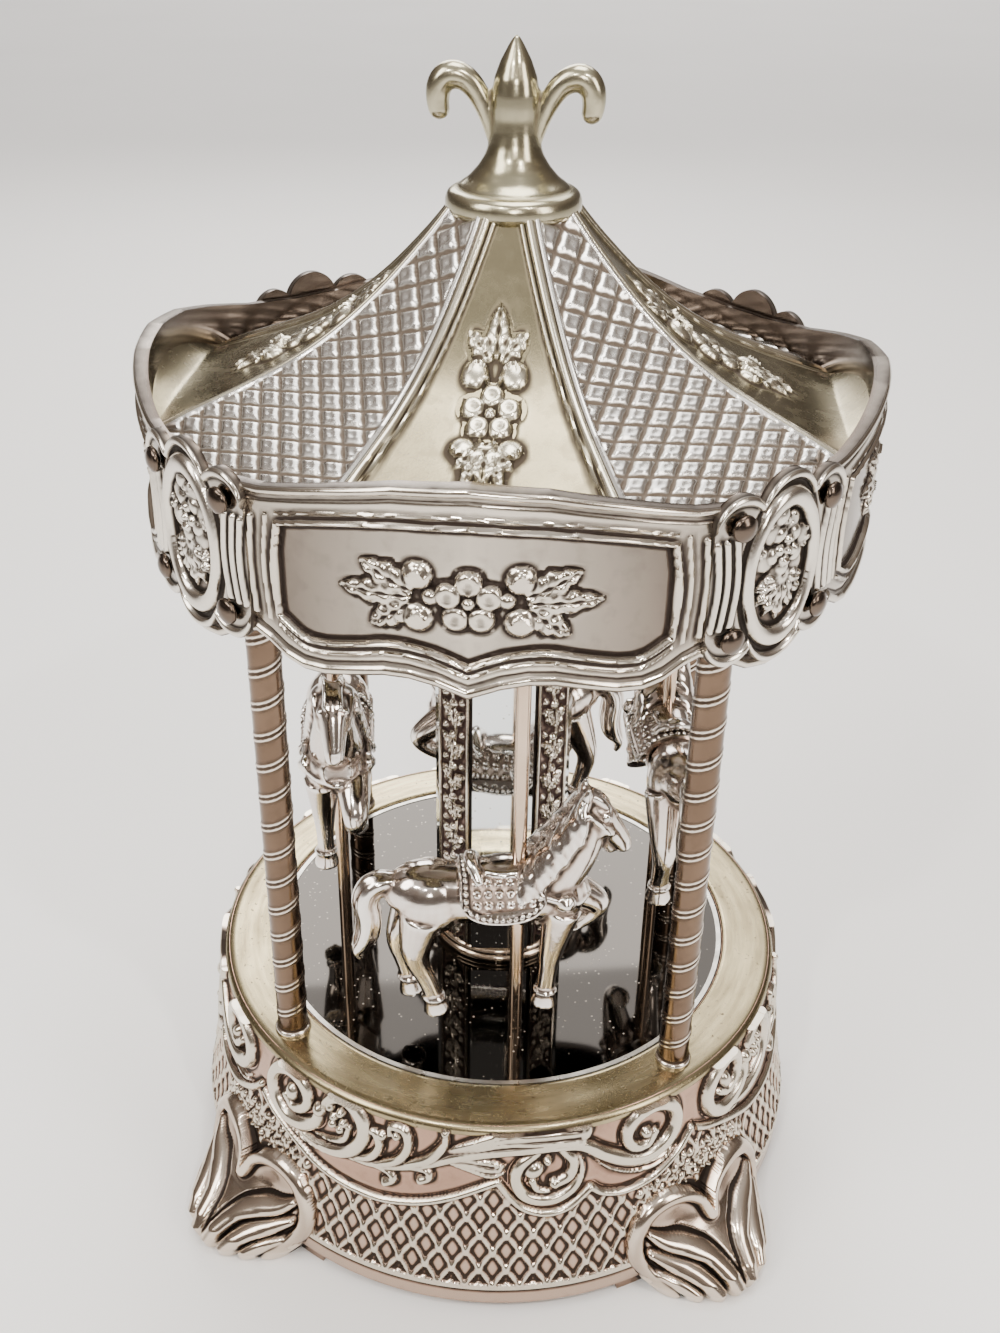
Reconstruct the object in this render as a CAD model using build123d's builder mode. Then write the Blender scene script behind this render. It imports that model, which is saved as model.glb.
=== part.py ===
from build123d import *
import math
import os

# A silver-plated carousel music box: a footed round base that holds the musical
# movement, a mirror turntable with an eight-sided column and four horses on poles,
# and a fixed canopy on four twisted posts with a fleur-de-lis finial.
# Millimetres, +Z up, origin on the table under the centre, front towards -Y.

os.makedirs("parts", exist_ok=True)

# ---------------------------------------------------------------- driving sizes

# base casting
deck_z = 57.3
deck_r = 75.0
deck_thickness = 2.3
rim_r = 82.3
rim_z = 4.0
rim_height = 4.0
shell_wall = 2.6
pillar_r = 3.5
pillar_ring = 66.0
pillar_foot_z = 20.0

# feet
foot_half_width = 24.0
foot_height = 27.5
foot_reach = 98.0
foot_toe_z = 4.5
foot_wall_gap = 0.05

# bottom cover
cover_r = 74.5
cover_bottom_z = 18.0
cover_thickness = pillar_foot_z - cover_bottom_z
key_hole_r = 6.0

# turntable
turntable_r = 61.2
turntable_gap = 0.4
turntable_bottom_z = 53.0
turntable_plate_thickness = 2.2
mirror_r = 60.0
mirror_thickness = 1.8
mirror_bottom_z = turntable_bottom_z + turntable_plate_thickness
mirror_top_z = mirror_bottom_z + mirror_thickness

# column
column_turn = 5.0
column_half = 15.6
column_chamfer = 7.7
column_ring_r = 18.0
column_ring_height = 4.0
column_top_z = 204.0
mirror_panel_width = 15.0
relief_panel_width = 10.2
panel_thickness = 1.3

# poles and horses
pole_turn = 10.7
pole_ring = 42.4
pole_r = 1.7
pole_plate_r = 49.0
pole_plate_thickness = 2.0
low_horse_z = 68.0
high_horse_z = low_horse_z + 15.0

# posts
post_ring = 67.5
post_r = 3.75
post_top_z = 200.0
post_spigot_r = 2.0
post_spigot_height = 5.0

# canopy
fascia_r = 80.1
fascia_wall = 1.8
fascia_low_z = 176.4
fascia_high_z = 222.4
roof_top_z = 251.0
roof_skin = 2.2
roof_eave_r = 78.0
roof_eave_z = 208.4
rosette_z = 199.0
rosette_proud = 2.4

# finial
finial_tip_z = 284.7
finial_collar_r = 14.0
finial_stud_r = 2.5

# movement
bedplate_thickness = 2.0
bedplate_top_z = pillar_foot_z + bedplate_thickness
arbor_r = 2.0
running_gap = 0.06
barrel_r = 14.0
crown_teeth = 36
crown_r = 15.0
crown_face_z = 36.5
pinion_teeth = 12
pinion_r = crown_r * pinion_teeth / crown_teeth
tooth_height = 1.6
cylinder_axis_z = crown_face_z + tooth_height / 2 + pinion_r
cylinder_r = 6.4
fine_module = 0.5
great_teeth = 30
small_teeth = 10
worm_wheel_teeth = 24
worm_starts = 2
shaft_r = 1.0
layshaft_r = 0.7
layshaft_y = -fine_module * (great_teeth + small_teeth) / 2
worm_pitch_r = 1.5
worm_x = 52.6
worm_y = layshaft_y - fine_module * worm_wheel_teeth / 2 - worm_pitch_r


def on_ring(radius, azimuth, z=0.0):
    """A point at a radius and an azimuth, counted from the front towards +X."""
    angle = math.radians(azimuth)
    return (radius * math.sin(angle), -radius * math.cos(angle), z)


def tangent_plane(radius, azimuth, z=0.0):
    """A plane facing outwards at a point of a ring, with its Y axis up."""
    angle = math.radians(azimuth)
    return Plane(
        origin=on_ring(radius, azimuth, z),
        x_dir=(math.cos(angle), math.sin(angle), 0),
        z_dir=(math.sin(angle), -math.cos(angle), 0),
    )


def radial_plane(azimuth):
    """The upright plane through the axis whose X axis points outwards at an azimuth."""
    angle = math.radians(azimuth)
    return Plane(
        origin=(0, 0, 0),
        x_dir=(math.sin(angle), -math.cos(angle), 0),
        z_dir=(-math.cos(angle), -math.sin(angle), 0),
    )


def save(part, name):
    """Labels a finished piece and writes its STEP file."""
    part.label = name
    export_step(part, f"parts/{name}.step")


corners = {"front_right": 45, "back_right": 135, "back_left": 225, "front_left": 315}

# ------------------------------------------------------------------ base shell

# A hollow casting: the flat deck ring around the turntable, and a wall that
# flares to a plain rim. Four pillars under the deck carry the bottom cover.

deck_under_z = deck_z - deck_thickness
wall_waist = (77.7, 32.0)
cover_screw_hole_r = 1.3
post_screw_r = 1.4
foot_screw_z = 12.0
foot_screw_r = 1.4

with BuildPart() as base_shell:
    with BuildSketch(Plane.XZ):
        with BuildLine():
            Line((turntable_r + turntable_gap, deck_z), (deck_r - 0.8, deck_z))
            Line((deck_r - 0.8, deck_z), (deck_r, deck_z - 0.8))
            ThreePointArc(
                (deck_r, deck_z - 0.8), wall_waist, (rim_r, rim_z + rim_height)
            )
            Line((rim_r, rim_z + rim_height), (rim_r, rim_z))
            Line((rim_r, rim_z), (rim_r - shell_wall, rim_z))
            Line(
                (rim_r - shell_wall, rim_z), (rim_r - shell_wall, rim_z + rim_height)
            )
            ThreePointArc(
                (rim_r - shell_wall, rim_z + rim_height),
                (wall_waist[0] - shell_wall, wall_waist[1]),
                (deck_r - shell_wall, deck_under_z),
            )
            Line(
                (deck_r - shell_wall, deck_under_z),
                (turntable_r + turntable_gap, deck_under_z),
            )
            Line(
                (turntable_r + turntable_gap, deck_under_z),
                (turntable_r + turntable_gap, deck_z),
            )
        make_face()
    revolve(axis=Axis.Z)
    with BuildSketch(Plane.XY.offset(pillar_foot_z)):
        with PolarLocations(pillar_ring, 4):
            Circle(pillar_r)
    extrude(amount=deck_under_z - pillar_foot_z)
    with BuildSketch(Plane.XY.offset(pillar_foot_z)):
        with PolarLocations(pillar_ring, 4):
            Circle(cover_screw_hole_r)
    extrude(amount=10, mode=Mode.SUBTRACT)
    with BuildSketch(Plane.XY.offset(deck_under_z)):
        with PolarLocations(post_ring, 4, start_angle=45):
            Circle(post_screw_r)
    extrude(amount=deck_thickness, mode=Mode.SUBTRACT)
    for azimuth in corners.values():
        with BuildSketch(tangent_plane(70, azimuth, foot_screw_z)):
            Circle(foot_screw_r)
        extrude(amount=16, mode=Mode.SUBTRACT)
save(base_shell.part, "base_shell")

# ------------------------------------------------------------------------ feet

# Each foot is a separate casting that laps up the wall with two curled leaves and
# swells outwards to one toe. It is held by one screw from inside the wall.

with BuildPart() as shell_outside:
    with BuildSketch(Plane.XZ):
        with BuildLine():
            Polyline(
                (deck_r - 0.8 + foot_wall_gap, deck_z),
                (0, deck_z),
                (0, -1),
                (rim_r + foot_wall_gap, -1),
                (rim_r + foot_wall_gap, rim_z + rim_height),
            )
            ThreePointArc(
                (rim_r + foot_wall_gap, rim_z + rim_height),
                (wall_waist[0] + foot_wall_gap, wall_waist[1]),
                (deck_r + foot_wall_gap, deck_z - 0.8),
            )
            Line((deck_r + foot_wall_gap, deck_z - 0.8), (deck_r - 0.8 + foot_wall_gap, deck_z))
        make_face()
    revolve(axis=Axis.Z)

foot_notch_z = 20.0
foot_tip_x = 13.0
foot_tread_half = 17.0
foot_screw_depth = 5.0

for corner, azimuth in corners.items():
    outward = on_ring(1, azimuth, 0)
    with BuildPart() as foot:
        with BuildSketch(radial_plane(azimuth)):
            with BuildLine():
                Polyline(
                    (84, 0),
                    (74, 0.0),
                    (74, foot_height),
                    (78.6, foot_height),
                )
                Spline(
                    (78.6, foot_height),
                    (81.2, 24),
                    (84.5, 18),
                    (91.0, 11),
                    (foot_reach, foot_toe_z),
                    (foot_reach - 3, 0),
                )
                Line((foot_reach - 3, 0), (84, 0))
            make_face()
        extrude(amount=foot_half_width, both=True)
        with BuildSketch(tangent_plane(110, azimuth)):
            with BuildLine():
                Spline(
                    (0, foot_notch_z),
                    (3, 24.5),
                    (foot_tip_x, foot_height),
                    (19.5, 25),
                    (23, 19),
                    (foot_half_width, 12),
                    (21, 5),
                    (foot_tread_half, 0),
                )
                Line((foot_tread_half, 0), (-foot_tread_half, 0))
                Spline(
                    (-foot_tread_half, 0),
                    (-21, 5),
                    (-foot_half_width, 12),
                    (-23, 19),
                    (-19.5, 25),
                    (-foot_tip_x, foot_height),
                    (-3, 24.5),
                    (0, foot_notch_z),
                )
            make_face()
        extrude(amount=-50, mode=Mode.INTERSECT)
        with BuildSketch(Plane(origin=(0, 0, 0), x_dir=outward, z_dir=(0, 0, 1))):
            with BuildLine():
                Polyline((74, -foot_half_width), (70, 0), (74, foot_half_width))
                Spline(
                    (74, foot_half_width),
                    (83, 20.5),
                    (89.5, 16),
                    (94.5, 10),
                    (foot_reach, 0),
                    (94.5, -10),
                    (89.5, -16),
                    (83, -20.5),
                    (74, -foot_half_width),
                )
            make_face()
        extrude(amount=foot_height + 1, mode=Mode.INTERSECT)
        add(shell_outside.part, mode=Mode.SUBTRACT)
        with BuildSketch(tangent_plane(70, azimuth, foot_screw_z)):
            Circle(foot_screw_r)
        extrude(amount=12.5 + foot_screw_depth, mode=Mode.SUBTRACT)
    save(foot.part, f"foot_{corner}")

with BuildPart() as foot_screws:
    for azimuth in corners.values():
        with BuildSketch(tangent_plane(76.3, azimuth, foot_screw_z)):
            Circle(2.6)
        extrude(amount=1.6)
        with BuildSketch(tangent_plane(77.9, azimuth, foot_screw_z)):
            Circle(foot_screw_r)
        extrude(amount=9.0)
save(foot_screws.part, "foot_screws")

# ---------------------------------------------------------------- bottom cover

# A flat plate under the movement, recessed above the table so that the key clears it.

movement_screws_at = [(-18, -18), (-18, 18), (57, 18)]

with BuildPart() as bottom_cover:
    with BuildSketch(Plane.XY.offset(cover_bottom_z)):
        Circle(cover_r)
        Circle(key_hole_r, mode=Mode.SUBTRACT)
        with PolarLocations(pillar_ring, 4):
            Circle(1.7, mode=Mode.SUBTRACT)
        with Locations(*movement_screws_at):
            Circle(1.5, mode=Mode.SUBTRACT)
    extrude(amount=cover_thickness)
save(bottom_cover.part, "bottom_cover")

with BuildPart() as cover_screws:
    with BuildSketch(Plane.XY.offset(cover_bottom_z)):
        with PolarLocations(pillar_ring, 4):
            Circle(2.8)
    extrude(amount=-1.5)
    with BuildSketch(Plane.XY.offset(cover_bottom_z)):
        with PolarLocations(pillar_ring, 4):
            Circle(cover_screw_hole_r)
    extrude(amount=9.0)
save(cover_screws.part, "cover_screws")

# ----------------------------------------------------------------------- posts

# Four posts stand on the deck and screw into bosses under the roof.

for corner, azimuth in corners.items():
    x, y, _ = on_ring(post_ring, azimuth)
    with BuildPart() as post:
        with BuildSketch(Plane.XY.offset(deck_z)):
            with Locations((x, y)):
                Circle(post_r)
        extrude(amount=post_top_z - deck_z)
        with BuildSketch(Plane.XY.offset(deck_z)):
            with Locations((x, y)):
                Circle(post_r + 0.7)
        extrude(amount=1.4)
        with BuildSketch(Plane.XY.offset(post_top_z)):
            with Locations((x, y)):
                Circle(post_spigot_r)
        extrude(amount=post_spigot_height)
        with BuildSketch(Plane.XY.offset(deck_z)):
            with Locations((x, y)):
                Circle(post_screw_r)
        extrude(amount=10, mode=Mode.SUBTRACT)
    save(post.part, f"post_{corner}")

with BuildPart() as post_screws:
    with BuildSketch(Plane.XY.offset(deck_under_z)):
        with PolarLocations(post_ring, 4, start_angle=45):
            Circle(2.9)
    extrude(amount=-1.8)
    with BuildSketch(Plane.XY.offset(deck_under_z)):
        with PolarLocations(post_ring, 4, start_angle=45):
            Circle(post_screw_r)
    extrude(amount=11)
save(post_screws.part, "post_screws")

# ------------------------------------------------------------------------ roof

# An eight-sided bell-shaped shell. Its ridges follow the profile below, given as
# ridge radius and height, and a flat eave flange meets the inside of the fascia.

roof_profile = [
    (14, roof_top_z),
    (20, 244.1),
    (30, 234.2),
    (40, 226.3),
    (50, 220.4),
    (60, 216.0),
    (70, 212.0),
    (roof_eave_r, roof_eave_z),
]
boss_r = 5.2
flange_inner_r = 69.0
flange_thickness = 1.5


def roof_bell(drop):
    """The solid bell under the roof's outer surface, lowered by a distance."""
    sections = [
        Plane.XY.offset(z - drop) * RegularPolygon(radius, 8, rotation=22.5)
        for radius, z in reversed(roof_profile)
    ]
    return loft(sections, ruled=True)


roof_outside = roof_bell(0)
roof_inside = roof_bell(roof_skin)

with BuildPart() as canopy_roof:
    add(roof_outside)
    add(roof_inside, mode=Mode.SUBTRACT)
    with BuildSketch(Plane.XY.offset(roof_eave_z)):
        Circle(fascia_r - fascia_wall)
        Circle(flange_inner_r, mode=Mode.SUBTRACT)
    extrude(amount=-flange_thickness)
    with BuildSketch(Plane.XY.offset(post_top_z)):
        with PolarLocations(post_ring, 4, start_angle=45):
            Circle(boss_r)
    extrude(amount=roof_eave_z - post_top_z)
    with BuildSketch(Plane.XY.offset(post_top_z)):
        with PolarLocations(post_ring, 4, start_angle=45):
            Circle(post_spigot_r)
    extrude(amount=post_spigot_height, mode=Mode.SUBTRACT)
    with BuildSketch(Plane.XY.offset(roof_top_z)):
        Circle(finial_stud_r)
    extrude(amount=-10, mode=Mode.SUBTRACT)
save(canopy_roof.part, "canopy_roof")

# ---------------------------------------------------------------------- fascia

# The upright ring around the eave. On each of its four sides the top edge crowns
# and the bottom edge runs in waves down to a point in the middle.

side_half = 57.0
cut_depth = 45.0


low_edge = [(0, 179.9), (6, 181.6), (14, 182.6), (28, 179.2), (36, 178.6), (42, 180.2)]
high_edge = [(0, fascia_high_z), (14, 221.4), (27, 218.9), (42, 215.6), (side_half, 214.0)]

with BuildPart() as fascia:
    with BuildSketch(Plane.XY.offset(fascia_low_z)):
        Circle(fascia_r)
        Circle(fascia_r - fascia_wall, mode=Mode.SUBTRACT)
    extrude(amount=fascia_high_z - fascia_low_z)
    for azimuth in (0, 90, 180, 270):
        side = tangent_plane(90, azimuth)
        for sign in (1, -1):
            with BuildSketch(side):
                with BuildLine():
                    Spline(*[(sign * x, z) for x, z in low_edge])
                    Polyline(
                        (sign * 42, 180.2),
                        (sign * 43, fascia_low_z - 5),
                        (0, fascia_low_z - 5),
                        (0, 179.9),
                    )
                make_face()
                with BuildLine():
                    Spline(*[(sign * x, z) for x, z in high_edge])
                    Polyline(
                        (sign * side_half, 214.0),
                        (sign * side_half, fascia_high_z + 5),
                        (0, fascia_high_z + 5),
                        (0, fascia_high_z),
                    )
                make_face()
            extrude(amount=-cut_depth, mode=Mode.SUBTRACT)
save(fascia.part, "fascia")

# Four rose plaques lap over the fascia's corners, each held by four domed studs.

plaque_width = 35.0
plaque_height = 33.0
lobe_r = 4.6
stud_x = 14.2
stud_z = 12.0

plaque_height_limit = 60.0

for corner, azimuth in corners.items():
    with BuildPart() as rosette:
        with BuildSketch(tangent_plane(90, azimuth, rosette_z)):
            RectangleRounded(plaque_width, plaque_height, 6)
            with Locations(
                (-9, plaque_height / 2 - 0.5), (0, plaque_height / 2), (9, plaque_height / 2 - 0.5)
            ):
                Circle(lobe_r)
            with Locations(
                (-9, 0.5 - plaque_height / 2), (0, -plaque_height / 2), (9, 0.5 - plaque_height / 2)
            ):
                Circle(lobe_r)
        extrude(amount=-30)
        with Locations((0, 0, rosette_z)):
            Cylinder(fascia_r + rosette_proud, plaque_height_limit, mode=Mode.INTERSECT)
        with Locations((0, 0, rosette_z)):
            Cylinder(fascia_r, plaque_height_limit, mode=Mode.SUBTRACT)
        with BuildSketch(tangent_plane(fascia_r + 1.2, azimuth, rosette_z)):
            Ellipse(9.5, 12.5)
        extrude(amount=rosette_proud)
    save(rosette.part, f"rosette_{corner}")

with BuildPart() as rosette_studs:
    for azimuth in corners.values():
        lean = math.degrees(math.asin(stud_x / fascia_r))
        for side_turn in (-lean, lean):
            for dz in (-stud_z, stud_z):
                seat = tangent_plane(fascia_r + rosette_proud, azimuth + side_turn, rosette_z + dz)
                with BuildSketch(seat):
                    Circle(2.7)
                extrude(amount=1.5, taper=35)
save(rosette_studs.part, "rosette_studs")

# ---------------------------------------------------------------------- finial

# A fleur-de-lis in the front plane on a small bell and collar, with a stud that
# passes through the roof's top and is held by a nut inside.

lobe_path_points = [(2.2, 262), (7.0, 272.5), (12.5, 276.6), (16.6, 274.2), (16.0, 270.4)]
lobe_tube_r = 1.9

with BuildPart() as finial:
    with BuildSketch(Plane.XZ):
        with BuildLine():
            Polyline((0, 240), (finial_stud_r, 240), (finial_stud_r, roof_top_z))
            Line((finial_stud_r, roof_top_z), (finial_collar_r - 1, roof_top_z))
            ThreePointArc(
                (finial_collar_r - 1, roof_top_z),
                (finial_collar_r + 0.2, roof_top_z + 2),
                (finial_collar_r - 1.2, roof_top_z + 4),
            )
            Spline(
                (finial_collar_r - 1.2, roof_top_z + 4),
                (8.5, 257.6),
                (5.2, 262.0),
                (4.6, 267.0),
                (4.9, 272.0),
                (3.2, 279.0),
                (0, finial_tip_z),
            )
            Line((0, finial_tip_z), (0, 240))
        make_face()
    revolve(axis=Axis.Z)
    for sign in (1, -1):
        with BuildLine() as lobe_path:
            Spline(*[(sign * x, 0, z) for x, z in lobe_path_points])
        with BuildSketch(Plane(lobe_path.line @ 0, z_dir=lobe_path.line % 0)):
            Circle(lobe_tube_r)
        sweep(path=lobe_path.line)
        with Locations((sign * lobe_path_points[-1][0], 0, lobe_path_points[-1][1])):
            Sphere(lobe_tube_r + 0.2)
save(finial.part, "finial")

with BuildPart() as finial_nut:
    with BuildSketch(Plane.XY.offset(roof_top_z - roof_skin)):
        RegularPolygon(4.6, 6)
        Circle(finial_stud_r, mode=Mode.SUBTRACT)
    extrude(amount=-3.2)
save(finial_nut.part, "finial_nut")

# ------------------------------------------------------------------- turntable

# A turned plate with a thin raised rim, carrying a round mirror. The hub under it
# sits on the spring barrel's output shaft.

hub_boss_r = 4.0
hub_flange_r = 8.0
hub_flange_z = turntable_bottom_z - 1.5
hub_bottom_z = 47.2
shaft_top_z = 51.0
hub_screw_ring = 6.0
column_screw_ring = 10.5
column_screw_r = 1.3
pole_seat_z = turntable_bottom_z + 1.0

with BuildPart() as turntable_plate:
    with BuildSketch(Plane.XY.offset(turntable_bottom_z)):
        Circle(turntable_r)
        with PolarLocations(column_screw_ring, 2, start_angle=column_turn):
            Circle(column_screw_r, mode=Mode.SUBTRACT)
    extrude(amount=turntable_plate_thickness)
    with BuildSketch(Plane.XY.offset(mirror_bottom_z)):
        Circle(turntable_r)
        Circle(mirror_r, mode=Mode.SUBTRACT)
    extrude(amount=mirror_thickness + 0.2)
    with BuildSketch(Plane.XY.offset(turntable_bottom_z)):
        with PolarLocations(hub_screw_ring, 3):
            Circle(0.8)
    extrude(amount=1.8, mode=Mode.SUBTRACT)
    with BuildSketch(Plane.XY.offset(pole_seat_z)):
        with PolarLocations(pole_ring, 4, start_angle=pole_turn):
            Circle(pole_r)
    extrude(amount=5, mode=Mode.SUBTRACT)
save(turntable_plate.part, "turntable_plate")

with BuildPart() as mirror_floor:
    with BuildSketch(Plane.XY.offset(mirror_bottom_z)):
        Circle(mirror_r)
        with PolarLocations(pole_ring, 4, start_angle=pole_turn):
            Circle(pole_r, mode=Mode.SUBTRACT)
        with PolarLocations(column_screw_ring, 2, start_angle=column_turn):
            Circle(column_screw_r, mode=Mode.SUBTRACT)
    extrude(amount=mirror_thickness)
save(mirror_floor.part, "mirror_floor")

with BuildPart() as turntable_hub:
    with BuildSketch(Plane.XY.offset(hub_flange_z)):
        Circle(hub_flange_r)
    extrude(amount=turntable_bottom_z - hub_flange_z)
    with BuildSketch(Plane.XY.offset(hub_bottom_z)):
        Circle(hub_boss_r)
    extrude(amount=hub_flange_z - hub_bottom_z)
    with BuildSketch(Plane.XY.offset(hub_bottom_z)):
        Circle(2.5)
    extrude(amount=shaft_top_z - hub_bottom_z, mode=Mode.SUBTRACT)
    with BuildSketch(Plane.XY.offset(hub_flange_z)):
        with PolarLocations(hub_screw_ring, 3):
            Circle(0.8)
    extrude(amount=2, mode=Mode.SUBTRACT)
save(turntable_hub.part, "turntable_hub")

with BuildPart() as hub_screws:
    with BuildSketch(Plane.XY.offset(hub_flange_z)):
        with PolarLocations(hub_screw_ring, 3):
            Circle(1.5)
    extrude(amount=-1.1)
    with BuildSketch(Plane.XY.offset(hub_flange_z)):
        with PolarLocations(hub_screw_ring, 3):
            Circle(0.8)
    extrude(amount=3.2)
save(hub_screws.part, "hub_screws")

# ---------------------------------------------------------------------- column

# An eight-sided core on a round foot ring, faced with four plain mirror panels
# and four leaf-relief panels. A plate on its top holds the upper ends of the poles.

column_foot_z = mirror_top_z + column_ring_height
relief_apothem = (2 * column_half - column_chamfer) / math.sqrt(2)
screw_depth_in_column = 6.0

with BuildPart() as column_foot_ring:
    with BuildSketch(Plane.XY.offset(mirror_top_z)):
        Circle(column_ring_r)
        with PolarLocations(column_screw_ring, 2, start_angle=column_turn):
            Circle(column_screw_r, mode=Mode.SUBTRACT)
    extrude(amount=column_ring_height)
    fillet(column_foot_ring.faces().sort_by(Axis.Z)[-1].outer_wire().edges(), 1.6)
save(column_foot_ring.part, "column_foot_ring")

with BuildPart() as column_core:
    with BuildSketch(Plane.XY.offset(column_foot_z)) as column_section:
        Rectangle(2 * column_half, 2 * column_half, rotation=column_turn)
        chamfer(column_section.vertices(), column_chamfer)
    extrude(amount=column_top_z - column_foot_z)
    with BuildSketch(Plane.XY.offset(column_foot_z)):
        with PolarLocations(column_screw_ring, 2, start_angle=column_turn):
            Circle(column_screw_r)
    extrude(amount=screw_depth_in_column, mode=Mode.SUBTRACT)
    with BuildSketch(Plane.XY.offset(column_top_z)):
        Circle(1.8)
    extrude(amount=-12, mode=Mode.SUBTRACT)
save(column_core.part, "column_core")

with BuildPart() as column_screws:
    with BuildSketch(Plane.XY.offset(turntable_bottom_z)):
        with PolarLocations(column_screw_ring, 2, start_angle=column_turn):
            Circle(1.8)
    extrude(amount=-1.3)
    with BuildSketch(Plane.XY.offset(turntable_bottom_z)):
        with PolarLocations(column_screw_ring, 2, start_angle=column_turn):
            Circle(column_screw_r)
    extrude(amount=column_foot_z - turntable_bottom_z + screw_depth_in_column - 1)
save(column_screws.part, "column_screws")

panel_height = column_top_z - column_foot_z

with BuildPart() as column_mirrors:
    for azimuth in (0, 90, 180, 270):
        seat = tangent_plane(column_half, azimuth + column_turn, column_foot_z + panel_height / 2)
        with BuildSketch(seat):
            Rectangle(mirror_panel_width, panel_height)
        extrude(amount=panel_thickness)
save(column_mirrors.part, "column_mirrors")

with BuildPart() as column_reliefs:
    for azimuth in corners.values():
        seat = tangent_plane(
            relief_apothem, azimuth + column_turn, column_foot_z + panel_height / 2
        )
        with BuildSketch(seat):
            Rectangle(relief_panel_width, panel_height)
        extrude(amount=panel_thickness)
save(column_reliefs.part, "column_reliefs")

with BuildPart() as pole_plate:
    with BuildSketch(Plane.XY.offset(column_top_z)):
        Circle(pole_plate_r)
        Circle(1.8, mode=Mode.SUBTRACT)
        with PolarLocations(pole_ring, 4, start_angle=pole_turn):
            Circle(pole_r, mode=Mode.SUBTRACT)
    extrude(amount=pole_plate_thickness)
save(pole_plate.part, "pole_plate")

with BuildPart() as pole_plate_screw:
    with BuildSketch(Plane.XY.offset(column_top_z + pole_plate_thickness)):
        Circle(3.6)
    extrude(amount=2.2)
    with BuildSketch(Plane.XY.offset(column_top_z + pole_plate_thickness)):
        Circle(1.8)
    extrude(amount=-12)
save(pole_plate_screw.part, "pole_plate_screw")

# ------------------------------------------------------------ poles and horses

# Each horse is threaded on its pole and prances along the ring, counter-clockwise
# seen from above. Two stand low and two high. Sizes are from the pole's axis
# forwards (X) and from the lowest hoof up (Z).

body_profile = [
    (-31.5, 0.0), (-30.0, 4.2), (-26.0, 7.2), (-20.0, 7.6), (-12.0, 6.6), (-4.0, 6.3),
    (4.0, 6.8), (10.0, 7.4), (14.0, 5.6), (16.2, 0.0),
]
body_axis_z = 33.5
limbs = [
    # start (x, y, z), end (x, y, z), start radius, end radius
    ((8.0, 0, 37.0), (16.5, 0, 54.0), 6.4, 3.9),
    ((16.0, 0, 56.5), (23.6, 0, 46.8), 3.9, 2.3),
    ((-24.5, 3.6, 30.0), (-28.0, 4.2, 17.0), 4.6, 2.2),
    ((-28.0, 4.2, 17.0), (-25.5, 4.4, 2.0), 2.1, 1.6),
    ((-24.0, -3.6, 30.0), (-23.5, -4.2, 17.0), 4.6, 2.2),
    ((-23.5, -4.2, 17.0), (-20.0, -4.4, 4.0), 2.1, 1.6),
    ((10.0, -3.2, 29.5), (7.6, -3.8, 17.5), 3.7, 2.0),
    ((7.6, -3.8, 17.5), (6.6, -4.0, 4.0), 2.0, 1.5),
    ((11.5, 3.2, 31.0), (20.0, 3.8, 25.0), 3.7, 2.2),
    ((20.0, 3.8, 25.0), (12.0, 4.0, 18.6), 2.1, 1.5),
    ((-29.8, 0, 38.0), (-35.0, 0, 29.0), 1.8, 2.4),
    ((-35.0, 0, 29.0), (-32.5, 0, 18.0), 2.4, 1.2),
]
hooves = [(-25.5, 4.4, 1.6), (-20.0, -4.4, 3.0), (6.6, -4.0, 3.2), (11.0, 4.0, 17.6)]
joints_at = [(-28.0, 4.2, 17.0, 2.3), (-23.5, -4.2, 17.0, 2.3), (7.6, -3.8, 17.5, 2.1),
             (20.0, 3.8, 25.0, 2.3), (16.4, 0, 55.4, 4.0), (23.4, 0, 47.0, 2.4)]
horse_seats = {"front": (0, low_horse_z), "right": (90, high_horse_z),
               "back": (180, low_horse_z), "left": (270, high_horse_z)}

for side_name, (azimuth, hoof_z) in horse_seats.items():
    angle = math.radians(azimuth + pole_turn)
    here = Plane(
        origin=on_ring(pole_ring, azimuth + pole_turn, hoof_z),
        x_dir=(math.cos(angle), math.sin(angle), 0),
        z_dir=(0, 0, 1),
    )
    upright = Plane(origin=here.origin, x_dir=here.x_dir, z_dir=-here.y_dir)
    with BuildPart() as horse:
        with BuildSketch(upright):
            with BuildLine():
                Spline(*[(x, body_axis_z + r) for x, r in body_profile])
                Line((body_profile[-1][0], body_axis_z), (body_profile[0][0], body_axis_z))
            make_face()
        revolve(axis=Axis(here.from_local_coords((0, 0, body_axis_z)), here.x_dir))
        for start, end, start_r, end_r in limbs:
            low = here.from_local_coords(Vector(*start))
            high = here.from_local_coords(Vector(*end))
            limb_plane = Plane(origin=low, z_dir=high - low)
            with BuildSketch(limb_plane):
                Circle(start_r)
            with BuildSketch(limb_plane.offset((high - low).length)):
                Circle(end_r)
            loft()
        for x, y, z, r in joints_at:
            with Locations(here.from_local_coords(Vector(x, y, z))):
                Sphere(r)
        for x, y, z in hooves:
            with Locations(here.from_local_coords(Vector(x, y, z))):
                Cylinder(2.3, 3.2)
        with Locations(here.from_local_coords(Vector(0, 0, body_axis_z))):
            Cylinder(pole_r, 60, mode=Mode.SUBTRACT)
    save(horse.part, f"horse_{side_name}")

    x, y, _ = on_ring(pole_ring, azimuth + pole_turn)
    with BuildPart() as pole:
        with BuildSketch(Plane.XY.offset(pole_seat_z)):
            with Locations((x, y)):
                Circle(pole_r)
        extrude(amount=column_top_z + pole_plate_thickness - pole_seat_z)
    save(pole.part, f"pole_{side_name}")

# -------------------------------------------------------------------- movement

# Bedplate, spring barrel with a crown of teeth, pinned cylinder, comb, and a
# governor. The barrel turns on the winding arbor and its upper shaft drives the
# turntable, so turntable and cylinder turn together.

bridge_leg_y = 19.2
bridge_z = 44.5

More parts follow.
